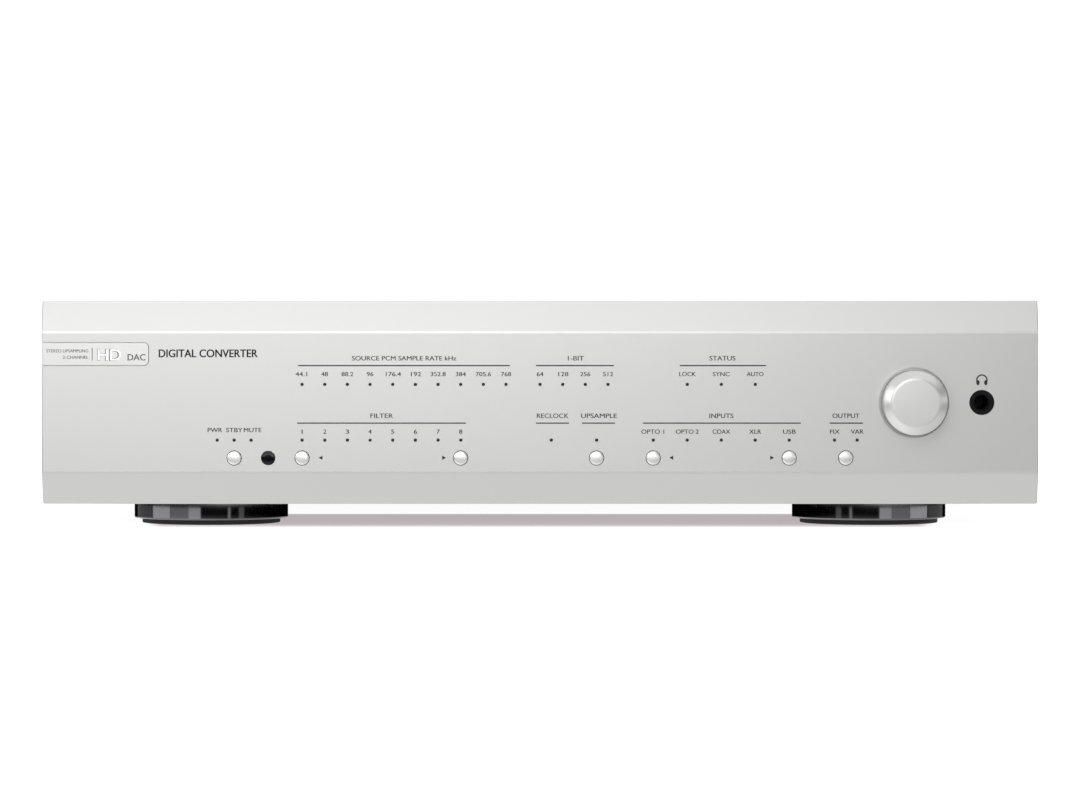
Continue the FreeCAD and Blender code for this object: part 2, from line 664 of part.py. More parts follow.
def make_phono_sockets():
    """Three phono sockets, each a plated shell with its nut and an insulating core."""
    pieces = []
    z, tip = phono_height(), rear_y + terminal_proud
    for x in [rear_x(offset) for offset in phono_x]:
        shell = [(1.6, rear_y - 14), (1.6, rear_y - 8), (4.4, rear_y - 8), (4.4, rear_y), (6.6, rear_y),
                 (6.6, rear_y + 2.0), (4.15, rear_y + 2.0), (4.15, tip - 0.4), (3.9, tip), (3.5, tip),
                 (3.5, rear_y + 2.0), (0, rear_y + 2.0), (0, rear_y - 14)]
        pieces.append(turned_y(x, z, shell))
        pieces.append(turned_y(x, z, [(1.65, rear_y + 3.5), (1.65, tip - 1.0), (3.45, tip - 1.0),
                                      (3.45, rear_y + 2.0), (0, rear_y + 2.0), (0, rear_y + 3.5)]))
        nut = hexagon_y(x, z, 11.0, rear_inside - 2.5, rear_inside)
        pieces.append(nut.cut(rod_y(x, z, 4.45, rear_inside - 3, rear_inside + 1)))
    return pieces


def xlr_shell(x, cavity, depth):
    """A square flange on the panel and a round shell through it, open to the rear."""
    flange = plate_y(x, socket_z, 26.0, 31.0, rear_y, rear_y + 2.5, 2.0)
    shell = rod_y(x, socket_z, 11.4, rear_y - depth - 4.0, rear_y + 2.5)
    tools = [rod_y(x, socket_z, cavity, rear_y - depth, rear_y + 3)]
    tools += [rod_y(x + side * 9.8, socket_z - side * 12.2, screw_radius + fit_gap, rear_y - 1, rear_y + 3)
              for side in (-1, 1)]
    return flange.fuse(shell).removeSplitter().cut(tools)


def contact_places(x):
    return [(x - 3.5, socket_z), (x + 3.5, socket_z), (x, socket_z - 3.5)]


def make_xlr_outputs():
    pieces = []
    depth = 13.0
    for x in [rear_x(offset) for offset in xlr_out_x]:
        pieces.append(xlr_shell(x, 8.2, depth))
        pieces += [rod_y(cx, cz, 1.2, rear_y - depth, rear_y) for cx, cz in contact_places(x)]
    return pieces


def make_xlr_input():
    """The socket for a three-pin plug: shell, core with three contacts and a guide for its latch."""
    x, depth = rear_x(xlr_in_x), 13.0
    guide = box(x - 5, x + 5, rear_inside - 10.0, rear_inside - 0.2, socket_z + 9.8, socket_z + 16.6)
    shell = xlr_shell(x, 9.4, depth).fuse(guide).removeSplitter()
    slot = box(x - 2.3, x + 2.3, rear_inside - 11.0, rear_y + 3, socket_z + 10.9, socket_z + 15.3)
    notch = box(x - 4.4, x + 4.4, rear_y, rear_y + 3, socket_z + 10.3, socket_z + 16)
    cavity = rod_y(x, socket_z, 9.4, rear_y - depth, rear_y + 3)
    core = rod_y(x, socket_z, 7.4, rear_y - depth, rear_y + 1.0)
    core = core.cut([rod_y(cx, cz, 1.3, rear_y - 11.0, rear_y + 2) for cx, cz in contact_places(x)])
    return [shell.cut([slot, notch, cavity]), core]


def make_xlr_latch():
    x = rear_x(xlr_in_x)
    tab = box(x - 4.1, x + 4.1, rear_y + 0.3, rear_y + 4.0, socket_z + 12.4, socket_z + 16.4)
    tab = round_edges(tab, 0.6, lambda edge: edge.CenterOfMass.y > rear_y + 3.9)
    stem = box(x - 2.0, x + 2.0, rear_inside - 8.0, rear_y + 0.3, socket_z + 12.9, socket_z + 14.9)
    return tab.fuse(stem).removeSplitter()


def shutter_pivot():
    return rear_y + 0.6, optical_height() + 2.7


def make_optical_sockets():
    pieces = []
    for x in [rear_x(offset) for offset in optical_x]:
        z = optical_height()
        pivot_y, pivot_z = shutter_pivot()
        body = box(x - 5, x + 5, rear_y - 14, rear_y + 1.5, z - 5.2, z + 5.2)
        cavity = box(x - 3.1, x + 3.1, rear_y - 9, rear_y + 2, z - 2.95, pivot_z + 0.75)
        pieces.append(body.cut([cavity, rod_x(pivot_y, pivot_z, 0.45, x - 4.0, x + 4.0)]))
    return pieces


def make_shutter(offset):
    """A spring flap hung on two stub pins; it closes an optical socket."""
    x = rear_x(offset)
    pivot_y, pivot_z = shutter_pivot()
    flap = box(x - 2.85, x + 2.85, pivot_y - 0.4, pivot_y + 0.4, pivot_z - 5.4, pivot_z)
    knuckle = rod_x(pivot_y, pivot_z, 0.4, x - 2.85, x + 2.85)
    pins = rod_x(pivot_y, pivot_z, 0.35, x - 3.8, x + 3.8)
    return flap.fuse([knuckle, pins]).removeSplitter()


def make_usb_socket():
    x, z = rear_x(usb_x), usb_height()
    shell = box(x - 6, x + 6, rear_y - 15, rear_y + 0.8, z - 5.6, z + 5.6)
    mouth = [(x - 4.25, z - 3.9), (x + 4.25, z - 3.9), (x + 4.25, z + 2.2), (x + 2.6, z + 3.9),
             (x - 2.6, z + 3.9), (x - 4.25, z + 2.2)]
    tongue = box(x - 2.8, x + 2.8, rear_y - 10, rear_y - 0.5, z - 1.6, z + 1.6)
    return [shell.cut(prism_y(mouth, rear_y - 10, rear_y + 2)), tongue]


def make_inlet():
    """A three-blade mains inlet over a slot for its fuse drawer."""
    x, z = -wall_half + inlet_x, socket_z
    body = box(x - 14, x + 14, rear_y - 30, rear_y, z - 18, z + 18)
    flange = plate_y(x, z, 50.0, 38.0, rear_y, rear_y + 3.0, 3.0)
    cz = z + 6.0
    mouth = [(x - 12.4, cz - 8.3), (x + 12.4, cz - 8.3), (x + 12.4, cz + 4.3), (x + 8.4, cz + 8.3),
             (x - 8.4, cz + 8.3), (x - 12.4, cz + 4.3)]
    tools = [prism_y(mouth, rear_y - 14, rear_y + 4),
             box(x - 11.7, x + 11.7, rear_y - 14, rear_y + 4, z - 15.4, z - 6.6)]
    tools += [rod_y(sx, sz, screw_radius + fit_gap, rear_y - 1, rear_y + 4) for sx, sz in inlet_screw_places()]
    blades = [box(x + bx - 1, x + bx + 1, rear_y - 14, rear_y + 1.0, cz + bz - 2, cz + bz + 2)
              for bx, bz in ((-7.0, -1.0), (7.0, -1.0), (0.0, 3.0))]
    return [body.fuse(flange).removeSplitter().cut(tools)] + blades


def make_fuse_drawer():
    x, z = -wall_half + inlet_x, socket_z
    tray = box(x - 11.5, x + 11.5, rear_y - 12, rear_y + 4.5, z - 15.2, z - 6.8)
    well = box(x - 10.5, x + 10.5, rear_y - 9, rear_y - 2, z - 13.6, z - 6)
    grip = box(x - 4, x + 4, rear_y + 3.4, rear_y + 5, z - 14, z - 12.4)
    return tray.cut([well, grip])


def make_fuse():
    x, z = -wall_half + inlet_x, socket_z
    return rod_x(rear_y - 5.5, z - 10.9, 2.6, x - 10, x + 10)


def rocker_pivot():
    return rear_y - 4.0, socket_z


def make_rocker_frame():
    x = -wall_half + rocker_x
    y, z = rocker_pivot()
    flange = plate_y(x, z, 24.0, 30.0, rear_y, rear_y + 1.8, 1.5)
    body = box(x - 10, x + 10, rear_y - 24, rear_y, z - 13, z + 13)
    well = box(x - 8.5, x + 8.5, rear_y - 12, rear_y + 3, z - 11.6, z + 11.6)
    pins = rod_x(y, z, 1.2 + run_gap, x - 9.6, x + 9.6)
    blades = [box(x - 3, x + 3, rear_y - 32, rear_y - 24, z + dz - 0.4, z + dz + 0.4) for dz in (-8.0, 0.0, 8.0)]
    return flange.fuse([body] + blades).removeSplitter().cut([well, pins])


def make_rocker():
    """A shallow V-fronted rocker with ends turned about its own pivot, at rest in its off position."""
    x = -wall_half + rocker_x
    y, z = rocker_pivot()
    end, middle = 6.6, 4.4
    profile = [(y + end, z + 12), (y + middle, z), (y + end, z - 12), (y - 1.0, z - 12), (y - 3.0, z - 4),
               (y - 3.0, z + 4), (y - 1.0, z + 12)]
    block = prism_x(profile, x - 8.2, x + 8.2).common(rod_x(y, z, 11.2, x - 9, x + 9))
    block = block.fuse(rod_x(y, z, 1.2, x - 9.4, x + 9.4)).removeSplitter()
    block.rotate(Vector(x, y, z), X_AXIS, -rocker_tilt)
    return block


# ---------------------------------------------------------------- write every node
def nodes():
    table = {
        "fascia": make_fascia(), "badge_plate": make_badge(), "fascia_screws": make_fascia_screws(),
        "front_frame": make_front_frame(), "base_chassis": make_base(), "top_cover": make_top_cover(),
        "rear_panel": make_rear_panel(), "panel_screws": make_panel_screws(),
        "foot_pads": make_foot_pads(), "foot_screws": make_foot_screws(),
        "volume_knob": make_knob(), "encoder_shaft": make_encoder_shaft(),
        "encoder_body": make_encoder_body(), "encoder_nut": make_encoder_nut(),
        "front_board": make_front_board(), "light_pipes": make_light_pipes(),
        "status_leds": make_status_leds(), "button_switches": make_button_switches(),
        "remote_window": make_remote_window(), "remote_receiver": make_remote_receiver(),
        "headphone_jack": make_headphone_jack(), "headphone_board": make_headphone_board(),
        "main_board": make_main_board(), "power_supply_board": make_power_board(),
        "board_posts": make_posts(), "board_screws": make_board_screws(),
        "toroidal_transformer": make_toroid(), "transformer_pads": make_toroid_pads(),
        "transformer_washer": make_toroid_washer(), "transformer_bolt": make_toroid_bolt(),
        "smoothing_capacitors": make_capacitors(), "regulators": make_regulators(),
        "converter_chips": make_chips(), "output_relays": make_relays(), "ribbon_cable": make_ribbon(),
        "phono_sockets": make_phono_sockets(), "xlr_outputs": make_xlr_outputs(),
        "xlr_input": make_xlr_input(), "xlr_latch": make_xlr_latch(),
        "optical_sockets": make_optical_sockets(), "usb_socket": make_usb_socket(),
        "mains_inlet": make_inlet(), "fuse_drawer": make_fuse_drawer(), "mains_fuse": make_fuse(),
        "rocker_frame": make_rocker_frame(), "mains_rocker": make_rocker(),
    }
    table.update({f"foot_{name}": make_foot(x, y) for name, (x, y) in feet.items()})
    table.update({name: make_button(x) for name, x in button_x.items()})
    table.update({f"optical_shutter_{i + 1}": make_shutter(x) for i, x in enumerate(optical_x)})
    return table


os.makedirs("parts", exist_ok=True)
for name, shape in nodes().items():
    if isinstance(shape, list):
        shape = Part.makeCompound(shape)
    if not shape.isValid() or not shape.Solids:
        raise ValueError(f"{name} is not a valid solid")
    shape.exportStep(f"parts/{name}.step")
    print(name, len(shape.Solids), round(shape.Volume, 1))
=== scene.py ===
import json
import math
import bmesh
import bpy
import numpy as np
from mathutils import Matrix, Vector


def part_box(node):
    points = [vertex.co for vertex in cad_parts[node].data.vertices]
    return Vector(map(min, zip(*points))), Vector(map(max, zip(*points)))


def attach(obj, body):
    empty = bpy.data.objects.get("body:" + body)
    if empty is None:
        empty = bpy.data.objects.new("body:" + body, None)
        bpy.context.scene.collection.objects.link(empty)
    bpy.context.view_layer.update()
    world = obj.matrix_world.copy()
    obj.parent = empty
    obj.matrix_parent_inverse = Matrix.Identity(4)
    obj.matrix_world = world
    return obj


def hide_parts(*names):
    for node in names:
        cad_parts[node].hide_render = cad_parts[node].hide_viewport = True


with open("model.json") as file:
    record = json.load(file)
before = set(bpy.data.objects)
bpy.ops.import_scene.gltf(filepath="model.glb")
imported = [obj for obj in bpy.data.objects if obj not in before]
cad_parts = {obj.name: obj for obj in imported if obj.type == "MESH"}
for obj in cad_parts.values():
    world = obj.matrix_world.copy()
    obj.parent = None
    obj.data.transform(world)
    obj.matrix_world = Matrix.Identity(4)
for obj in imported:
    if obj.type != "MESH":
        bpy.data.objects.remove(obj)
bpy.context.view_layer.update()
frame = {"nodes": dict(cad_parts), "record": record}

# A full-width audio converter: fascia with printed legends, turned knob, buttons and feet, a powder
# coated case and a rear panel of sockets. Metres, +Z up, the front faces -Y, +X to the right.

MM = 0.001
collection = bpy.context.scene.collection

# ------------------------------------------------------------------ places read from the frame
fascia_low, fascia_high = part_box("fascia")
_, rear_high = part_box("rear_panel")
jack_low, jack_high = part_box("headphone_jack")

front_y = fascia_low[1]
fascia_back = fascia_high[1]
fascia_bottom = fascia_low[2]
rear_y = rear_high[1]
jack_x = (jack_low[0] + jack_high[0]) / 2


def middle_of(node):
    low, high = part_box(node)
    return [(float(a) + float(b)) / 2 for a, b in zip(low, high)]


def ends_of(node, axis):
    low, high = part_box(node)
    return float(low[axis]), float(high[axis])


socket_z = middle_of("mains_inlet")[2]
phono_right, phono_coax = ends_of("phono_sockets", 0)[1] - 6.6 * MM, ends_of("phono_sockets", 0)[0] + 6.6 * MM
phono_left = phono_right - 22.0 * MM
xlr_right, xlr_left = ends_of("xlr_outputs", 0)[1] - 13.0 * MM, ends_of("xlr_outputs", 0)[0] + 13.0 * MM
xlr_in = middle_of("xlr_input")[0]


# ------------------------------------------------------------------ camera, lights and floor
def aim(thing, place, target):
    """Stands a camera or light at place, looking at target."""
    thing.location = place
    thing.rotation_euler = (Vector(target) - Vector(place)).to_track_quat("-Z", "Y").to_euler()


def make_camera():
    camera = bpy.data.cameras.new("camera")
    thing = bpy.data.objects.new("camera", camera)
    collection.objects.link(thing)
    distance, height = 2.47, 0.114
    picture_width = 0.4765
    camera.sensor_width = 36.0
    camera.lens = camera.sensor_width * distance / picture_width
    camera.clip_end = 30.0
    aim(thing, (0.0, front_y - distance, height), (0.0, front_y, 0.0539))
    bpy.context.scene.camera = thing


def area_light(name, place, target, size, power, colour=(1.0, 1.0, 1.0)):
    lamp = bpy.data.lights.new(name, "AREA")
    lamp.shape = "RECTANGLE"
    lamp.size, lamp.size_y = size
    lamp.energy = power
    lamp.color = colour
    thing = bpy.data.objects.new(name, lamp)
    collection.objects.link(thing)
    aim(thing, place, target)
    return thing


softboxes = {
    # name: place, what it faces, its two sides, watts
    "front_box": ((-0.24, front_y - 1.0, 0.47), (-0.24, 0.0, 0.47), (0.90, 0.80), 3.9),
    "top_box": ((-0.15, front_y - 0.9, 1.0), (-0.05, front_y, 0.09), (1.1, 0.5), 0.4),
    "side_box": ((-0.85, front_y - 0.30, 0.35), (0.0, front_y, 0.06), (0.45, 0.6), 2.2),
}
# brightness of the sky at the left and at the right, by the height of its direction, -1 to 1
sky_heights = (-1.0, -0.30, -0.10, -0.07, -0.01, 0.02, 0.30, 0.70, 1.0)
sky_left = (1.12, 1.12, 0.0, 0.0, 0.0, 0.42, 0.1, 0.86, 0.86)
sky_right = (0.80, 0.80, 0.0, 0.0, 0.0, 1.85, 0.1, 0.93, 0.93)
floor_glow = 0.44


# cards that the feet mirror: from and to which angle off the front, in degrees outwards, and brightness
foot_cards = ((12.0, 30.0, 1.3), (30.0, 58.0, 0.6), (58.0, 92.0, 1.5), (92.0, 140.0, 0.25),
              (-30.5, -27.0, 0.8), (-51.0, -43.0, 0.35))
foot_card_reach, foot_card_height, foot_card_drop = 0.35, 0.06, 0.001


def make_foot_cards(feet):
    """Narrow lights on an arc round each front foot, just under the floor. Each foot sees only its own."""
    for side, node in ((-1, "foot_front_left"), (1, "foot_front_right")):
        x, y, _ = middle_of(node)
        lit = bpy.data.collections.new(f"lit_{node}")
        lit.objects.link(feet[node])
        for start, end, brightness in foot_cards:
            turn = math.radians((start + end) / 2)
            width = 2.0 * foot_card_reach * math.sin(math.radians(end - start) / 2)
            level = -foot_card_height / 2 - foot_card_drop
            across, ahead = foot_card_reach * math.sin(turn), foot_card_reach * math.cos(turn)
            card = area_light(f"foot_card_{side}_{int(start)}", (x + side * across, y - ahead, level),
                              (x, y, level), (width, foot_card_height),
                              brightness * math.pi * width * foot_card_height)
            card.light_linking.receiver_collection = lit


def make_lights():
    """Softboxes in front, above and at the left, and a sky that is dark in a low band."""
    for name, (place, target, size, power) in softboxes.items():
        area_light(name, place, target, size, power)
    world = bpy.data.worlds.new("studio")
    bpy.context.scene.world = world
    world.use_nodes = True
    nodes, links = world.node_tree.nodes, world.node_tree.links
    direction = nodes.new("ShaderNodeTexCoord")
    part = nodes.new("ShaderNodeSeparateXYZ")
    links.new(direction.outputs["Generated"], part.inputs[0])
    curves = []
    for levels in (sky_left, sky_right):
        curve = nodes.new("ShaderNodeFloatCurve")
        line = curve.mapping.curves[0]
        points = [((height + 1.0) / 2.0, level / 4.0) for height, level in zip(sky_heights, levels)]
        while len(line.points) < len(points):
            line.points.new(0.5, 0.5)
        for knot, place in zip(line.points, points):
            knot.location, knot.handle_type = place, "VECTOR"
        curve.mapping.update()
        rise = nodes.new("ShaderNodeMapRange")
        rise.inputs["From Min"].default_value, rise.inputs["From Max"].default_value = -1.0, 1.0
        links.new(part.outputs["Z"], rise.inputs["Value"])
        links.new(rise.outputs[0], curve.inputs["Value"])
        curves.append(curve)
    side = nodes.new("ShaderNodeMapRange")
    side.inputs["From Min"].default_value, side.inputs["From Max"].default_value = -0.35, 0.35
    links.new(part.outputs["X"], side.inputs["Value"])
    blend = nodes.new("ShaderNodeMix")
    links.new(side.outputs[0], blend.inputs[0])
    links.new(curves[0].outputs[0], blend.inputs[2])
    links.new(curves[1].outputs[0], blend.inputs[3])
    bright = nodes.new("ShaderNodeMath")
    bright.operation = "MULTIPLY"
    bright.inputs[1].default_value = 4.0
    links.new(blend.outputs[0], bright.inputs[0])
    links.new(bright.outputs[0], nodes["Background"].inputs["Strength"])
    nodes["Background"].inputs["Color"].default_value = (1.0, 1.0, 1.0, 1.0)


# ------------------------------------------------------------------ shader maths
class Value:
    """A node socket. Python's operators on it add Math nodes."""

    def __init__(self, finish, socket):
        self.finish, self.socket = finish, socket

    def maths(self, operation, *values):
        return self.finish.node("ShaderNodeMath", {"operation": operation}, dict(enumerate(values)))

    def __add__(self, other):
        return self.maths("ADD", self, other)

    def __radd__(self, other):
        return self.maths("ADD", other, self)

    def __sub__(self, other):
        return self.maths("SUBTRACT", self, other)

    def __rsub__(self, other):
        return self.maths("SUBTRACT", other, self)

    def __mul__(self, other):
        return self.maths("MULTIPLY", self, other)

    def __rmul__(self, other):
        return self.maths("MULTIPLY", other, self)

    def __truediv__(self, other):
        return self.maths("DIVIDE", self, other)

    def __gt__(self, other):
        return self.maths("GREATER_THAN", self, other)

    def __lt__(self, other):
        return self.maths("LESS_THAN", self, other)

    def sine(self):
        return self.maths("SINE", self)

    def root(self):
        return self.maths("SQRT", self)

    def held(self):
        """Clamped to 0..1."""
        return self.maths("MINIMUM", self.maths("MAXIMUM", self, 0.0), 1.0)


class Finish:
    """A material being made: one Principled shader and whatever feeds it."""

    def __init__(self, name, base=(0.8, 0.8, 0.8), **sockets):
        self.material = bpy.data.materials.new(name)
        self.material.use_nodes = True
        self.nodes = self.material.node_tree.nodes
        self.links = self.material.node_tree.links
        self.nodes.clear()
        out = self.nodes.new("ShaderNodeOutputMaterial")
        self.shader = self.nodes.new("ShaderNodeBsdfPrincipled")
        self.links.new(self.shader.outputs[0], out.inputs[0])
        self.set("Base Color", (*base, 1.0))
        for name, value in sockets.items():
            self.set(name.replace("_", " ").title().replace("Ior", "IOR"), value)

    def set(self, name, value):
        self.connect(value, self.shader.inputs[name])

    def connect(self, value, socket):
        if isinstance(value, Value):
            self.links.new(value.socket, socket)
        else:
            socket.default_value = value

    def node(self, kind, settings=None, inputs=None, output=0):
        """Adds a node: its settings first, a ramp's stops among them, then its inputs."""
        node = self.nodes.new(kind)
        for name, value in (settings or {}).items():
            if name == "stops":
                ramp = node.color_ramp
                while len(ramp.elements) < len(value):
                    ramp.elements.new(0.5)
                for element, (place, colour) in zip(ramp.elements, value):
                    element.position, element.color = place, colour
            else:
                setattr(node, name, value)
        for key, value in (inputs or {}).items():
            self.connect(value, node.inputs[key])
        return Value(self, node.outputs[output])

    def place(self):
        return self.node("ShaderNodeTexCoord", output=3)

    def axes(self):
        place = self.place()
        return [self.node("ShaderNodeSeparateXYZ", None, {0: place}, i) for i in range(3)]

    def noise(self, scale, detail=2.0, roughness=0.5, stretch=(1.0, 1.0, 1.0)):
        place = self.node("ShaderNodeMapping", {"vector_type": "POINT"},
                          {"Vector": self.place(), "Scale": stretch})
        return self.node("ShaderNodeTexNoise", None,
                         {"Vector": place, "Scale": scale, "Detail": detail, "Roughness": roughness})

    def mix(self, factor, first, second):
        """Blends two colours by a factor."""
        return self.node("ShaderNodeMix", {"data_type": "RGBA"}, {0: factor, 6: first, 7: second}, 2)

    def bump(self, height, strength, distance):
        self.set("Normal", self.node("ShaderNodeBump", None,
                                     {"Height": height, "Strength": strength, "Distance": distance}))


def speckled(name, base, roughness, grain, depth, metallic=0.0, spread=0.05, rough_spread=0.06, **sockets):
    """A finish with a fine grain: it moves the colour, the roughness and the surface a little."""
    finish = Finish(name, base, metallic=metallic, **sockets)
    fine = finish.noise(grain, 3.0, 0.6)
    broad = finish.noise(14.0, 2.0)
    dark = tuple(c * (1.0 - spread) for c in base) + (1.0,)
    light = tuple(min(1.0, c * (1.0 + spread)) for c in base) + (1.0,)
    finish.set("Base Color", finish.mix((fine * 0.6 + broad * 0.4).held(), dark, light))
    finish.set("Roughness", (roughness - rough_spread / 2) + rough_spread * broad)
    finish.bump(fine, 1.0, depth)
    return finish


def bead_blasted(name, base, roughness=0.40):
    """Anodised aluminium: bead-blasted, so it glows softly with a grain under a tenth of a millimetre."""
    return speckled(name, base, roughness, 5200.0, 0.000004, metallic=1.0, spread=0.02,
                    rough_spread=0.05).material


def turned_metal(name, base, roughness, centre, axis, pitch, depth, metallic=1.0):
    """Metal from a lathe: fine rings about the axis through centre, as far apart as pitch."""
    finish = Finish(name, base, metallic=metallic)
    axes = finish.axes()
    across = [axes[i] - float(centre[i]) for i in range(3) if i != axis]
    radius = (across[0] * across[0] + across[1] * across[1]).root()
    wander = finish.noise(900.0, 1.0)
    rings = (radius * (2.0 * math.pi / pitch) + wander * 2.0).sine()
    finish.set("Roughness", roughness + rings * 0.03 + wander * 0.05)
    finish.bump(rings, 1.0, depth)
    return finish.material


def powder_coat(name, base, roughness=0.55, metallic=0.35):
    return speckled(name, base, roughness, 1500.0, 0.00003, spread=0.05, metallic=metallic).material


def moulded(name, base, roughness=0.5, grain=2500.0, depth=0.00001, spread=0.10):
    return speckled(name, base, roughness, grain, depth, spread=spread).material


def polished(name, base, roughness=0.12, metallic=1.0, **sockets):
    finish = Finish(name, base, metallic=metallic, **sockets)
    haze = finish.noise(60.0, 2.0)
    finish.set("Roughness", roughness + haze * 0.06)
    finish.bump(finish.noise(700.0, 2.0), 0.3, 0.000003)
    return finish.material


def wound_tape():
    """The transformer's outer wrap: overlapping turns of glossy tape that run round like spokes."""
    low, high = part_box("toroidal_transformer")
    finish = Finish("wound_tape", (0.05, 0.06, 0.11), roughness=0.3)
    x, y, _ = finish.axes()
    angle = finish.node("ShaderNodeMath", {"operation": "ARCTAN2"},
                        {0: y - float((low[1] + high[1]) / 2), 1: x - float((low[0] + high[0]) / 2)})
    wraps, offset = 70.0, 40.0
    turns = finish.node("ShaderNodeMath", {"operation": "FRACT"},
                        {0: angle * (wraps / (2.0 * math.pi)) + offset})
    finish.set("Base Color", finish.mix(turns, (0.03, 0.04, 0.08, 1.0), (0.09, 0.10, 0.16, 1.0)))
    finish.bump(turns, 0.8, 0.00015)
    return finish.material


def circuit_board():
    """Green solder mask over copper tracks that run in short lanes along X and Y."""
    finish = Finish("circuit_green", (0.02, 0.14, 0.07), roughness=0.32)
    cells = finish.node("ShaderNodeTexVoronoi", {"distance": "MANHATTAN"},
                        {"Vector": finish.place(), "Scale": 160.0})
    lanes = finish.node("ShaderNodeTexBrick", {"offset": 0.5},
                        {"Vector": finish.place(), "Scale": 220.0, "Mortar Size": 0.03}, 1)
    track = ((cells < 0.35) * 0.6 + lanes * 0.4).held()
    finish.set("Base Color", finish.mix(track, (0.012, 0.09, 0.045, 1.0), (0.03, 0.20, 0.09, 1.0)))
    finish.bump(track, 0.5, 0.00003)
    return finish.material


finishes = {
    "fascia": bead_blasted("anodised_silver", (0.66, 0.66, 0.655)),
    "button": bead_blasted("button_metal", (0.86, 0.86, 0.85), 0.33),
    "cover": powder_coat("cover_silver", (0.55, 0.55, 0.545)),
    "case_black": powder_coat("case_black", (0.045, 0.045, 0.05), metallic=0.0),
    "zinc": speckled("zinc_steel", (0.60, 0.61, 0.62), 0.35, 900.0, 0.000006, metallic=1.0,
                     spread=0.1).material,
    "screw": polished("black_screws", (0.03, 0.03, 0.032), 0.35),
    "foot": polished("foot_grey", (0.16, 0.16, 0.165), 0.06, 1.0),
    "rubber": moulded("foot_rubber", (0.012, 0.012, 0.012), 0.75),
    "black_plastic": moulded("moulded_black", (0.018, 0.018, 0.02)),
    "jack_black": speckled("jack_black", (0.005, 0.005, 0.006), 0.45, 2500.0, 0.00001,
                           specular_ior_level=0.12).material,
    "gloss_black": polished("gloss_black", (0.006, 0.006, 0.007), 0.12, 0.0, specular_ior_level=0.15),
    "window": polished("window_black", (0.004, 0.004, 0.005), 0.05, 0.0, specular_ior_level=0.3),
    "nickel": polished("nickel", (0.72, 0.70, 0.67), 0.14),
    "gold": polished("gold_plate", (0.86, 0.62, 0.26), 0.14),
    "board": circuit_board(),
    "tape": wound_tape(),
    "sleeve": moulded("capacitor_sleeve", (0.02, 0.02, 0.045), 0.28, 600.0, 0.00001),
    "heatsink": bead_blasted("heatsink_black", (0.04, 0.04, 0.045), 0.45),
    "chip": moulded("chip_black", (0.022, 0.022, 0.024), 0.45),
    "relay": moulded("relay_cream", (0.70, 0.67, 0.57), 0.4),
    "ribbon": moulded("ribbon_grey", (0.40, 0.41, 0.43), 0.5),
    "fuse": polished("fuse_glass", (0.75, 0.80, 0.80), 0.05, 0.0),
    "led": polished("led_clear", (0.01, 0.01, 0.012), 0.12, 0.0),
    "led_chip": moulded("led_chip", (0.80, 0.78, 0.60), 0.3),
    "ink": moulded("printed_ink", (0.012, 0.012, 0.013), 0.6),
    "pale_ink": moulded("printed_pale", (0.90, 0.90, 0.90), 0.5),
    "badge_ink": moulded("badge_ink", (0.16, 0.16, 0.165), 0.5),
    "badge": polished("badge_metal", (0.70, 0.70, 0.69), 0.30),
    "red": moulded("insulator_red", (0.45, 0.02, 0.02), 0.35),
    "white": moulded("insulator_white", (0.75, 0.74, 0.70), 0.35),
    "orange": moulded("insulator_orange", (0.75, 0.22, 0.03), 0.35),
}

slot_finish = {
    "anodised_silver": "fascia", "knob_aluminium": "fascia", "button_metal": "button", "badge_metal": "badge",
    "cover_silver": "cover", "case_black": "case_black", "zinc_steel": "zinc", "black_screws": "screw",
    "foot_grey": "foot", "foot_rubber": "rubber", "led_clear": "led", "led_chip": "led_chip",
    "window_black": "window", "moulded_black": "black_plastic", "gloss_black": "gloss_black",
    "nickel": "nickel", "gold": "gold", "circuit_green": "board", "tape_wound": "tape",
    "capacitor_sleeve": "sleeve", "heatsink_black": "heatsink", "chip_black": "chip", "relay_cream": "relay",
    "ribbon_grey": "ribbon", "fuse_glass": "fuse",
}
node_slot = {part["node"]: part["material_slot"] for part in frame["record"]["subparts"]}
node_body = {node: body for body, nodes in frame["record"]["behaviour"]["bodies"].items() for node in nodes}


def dress_nodes():
    """Gives every CAD node the finish of its slot."""
    for name, slot in node_slot.items():
        mesh = frame["nodes"][name].data
        mesh.materials.clear()
        mesh.materials.append(finishes[slot_finish[slot]])


def dress_faces(node, finish, wanted):
    """Gives a finish to the faces of a node whose middles pass a test on x, y and z."""
    mesh = frame["nodes"][node].data
    mesh.materials.append(finishes[finish])
    middles, index = np.zeros(len(mesh.polygons) * 3), np.zeros(len(mesh.polygons), np.int32)
    mesh.polygons.foreach_get("center", middles)
    mesh.polygons.foreach_get("material_index", index)
    index[wanted(*middles.reshape(-1, 3).T)] = len(mesh.materials) - 1
    mesh.polygons.foreach_set("material_index", index)


def near(x, z, places, inner, outer):
    """Whether points lie between two radii of any of some axes along Y."""
    away = np.min([np.hypot(x - px, z - pz) for px, pz in places], axis=0)
    return (away > inner) & (away < outer)


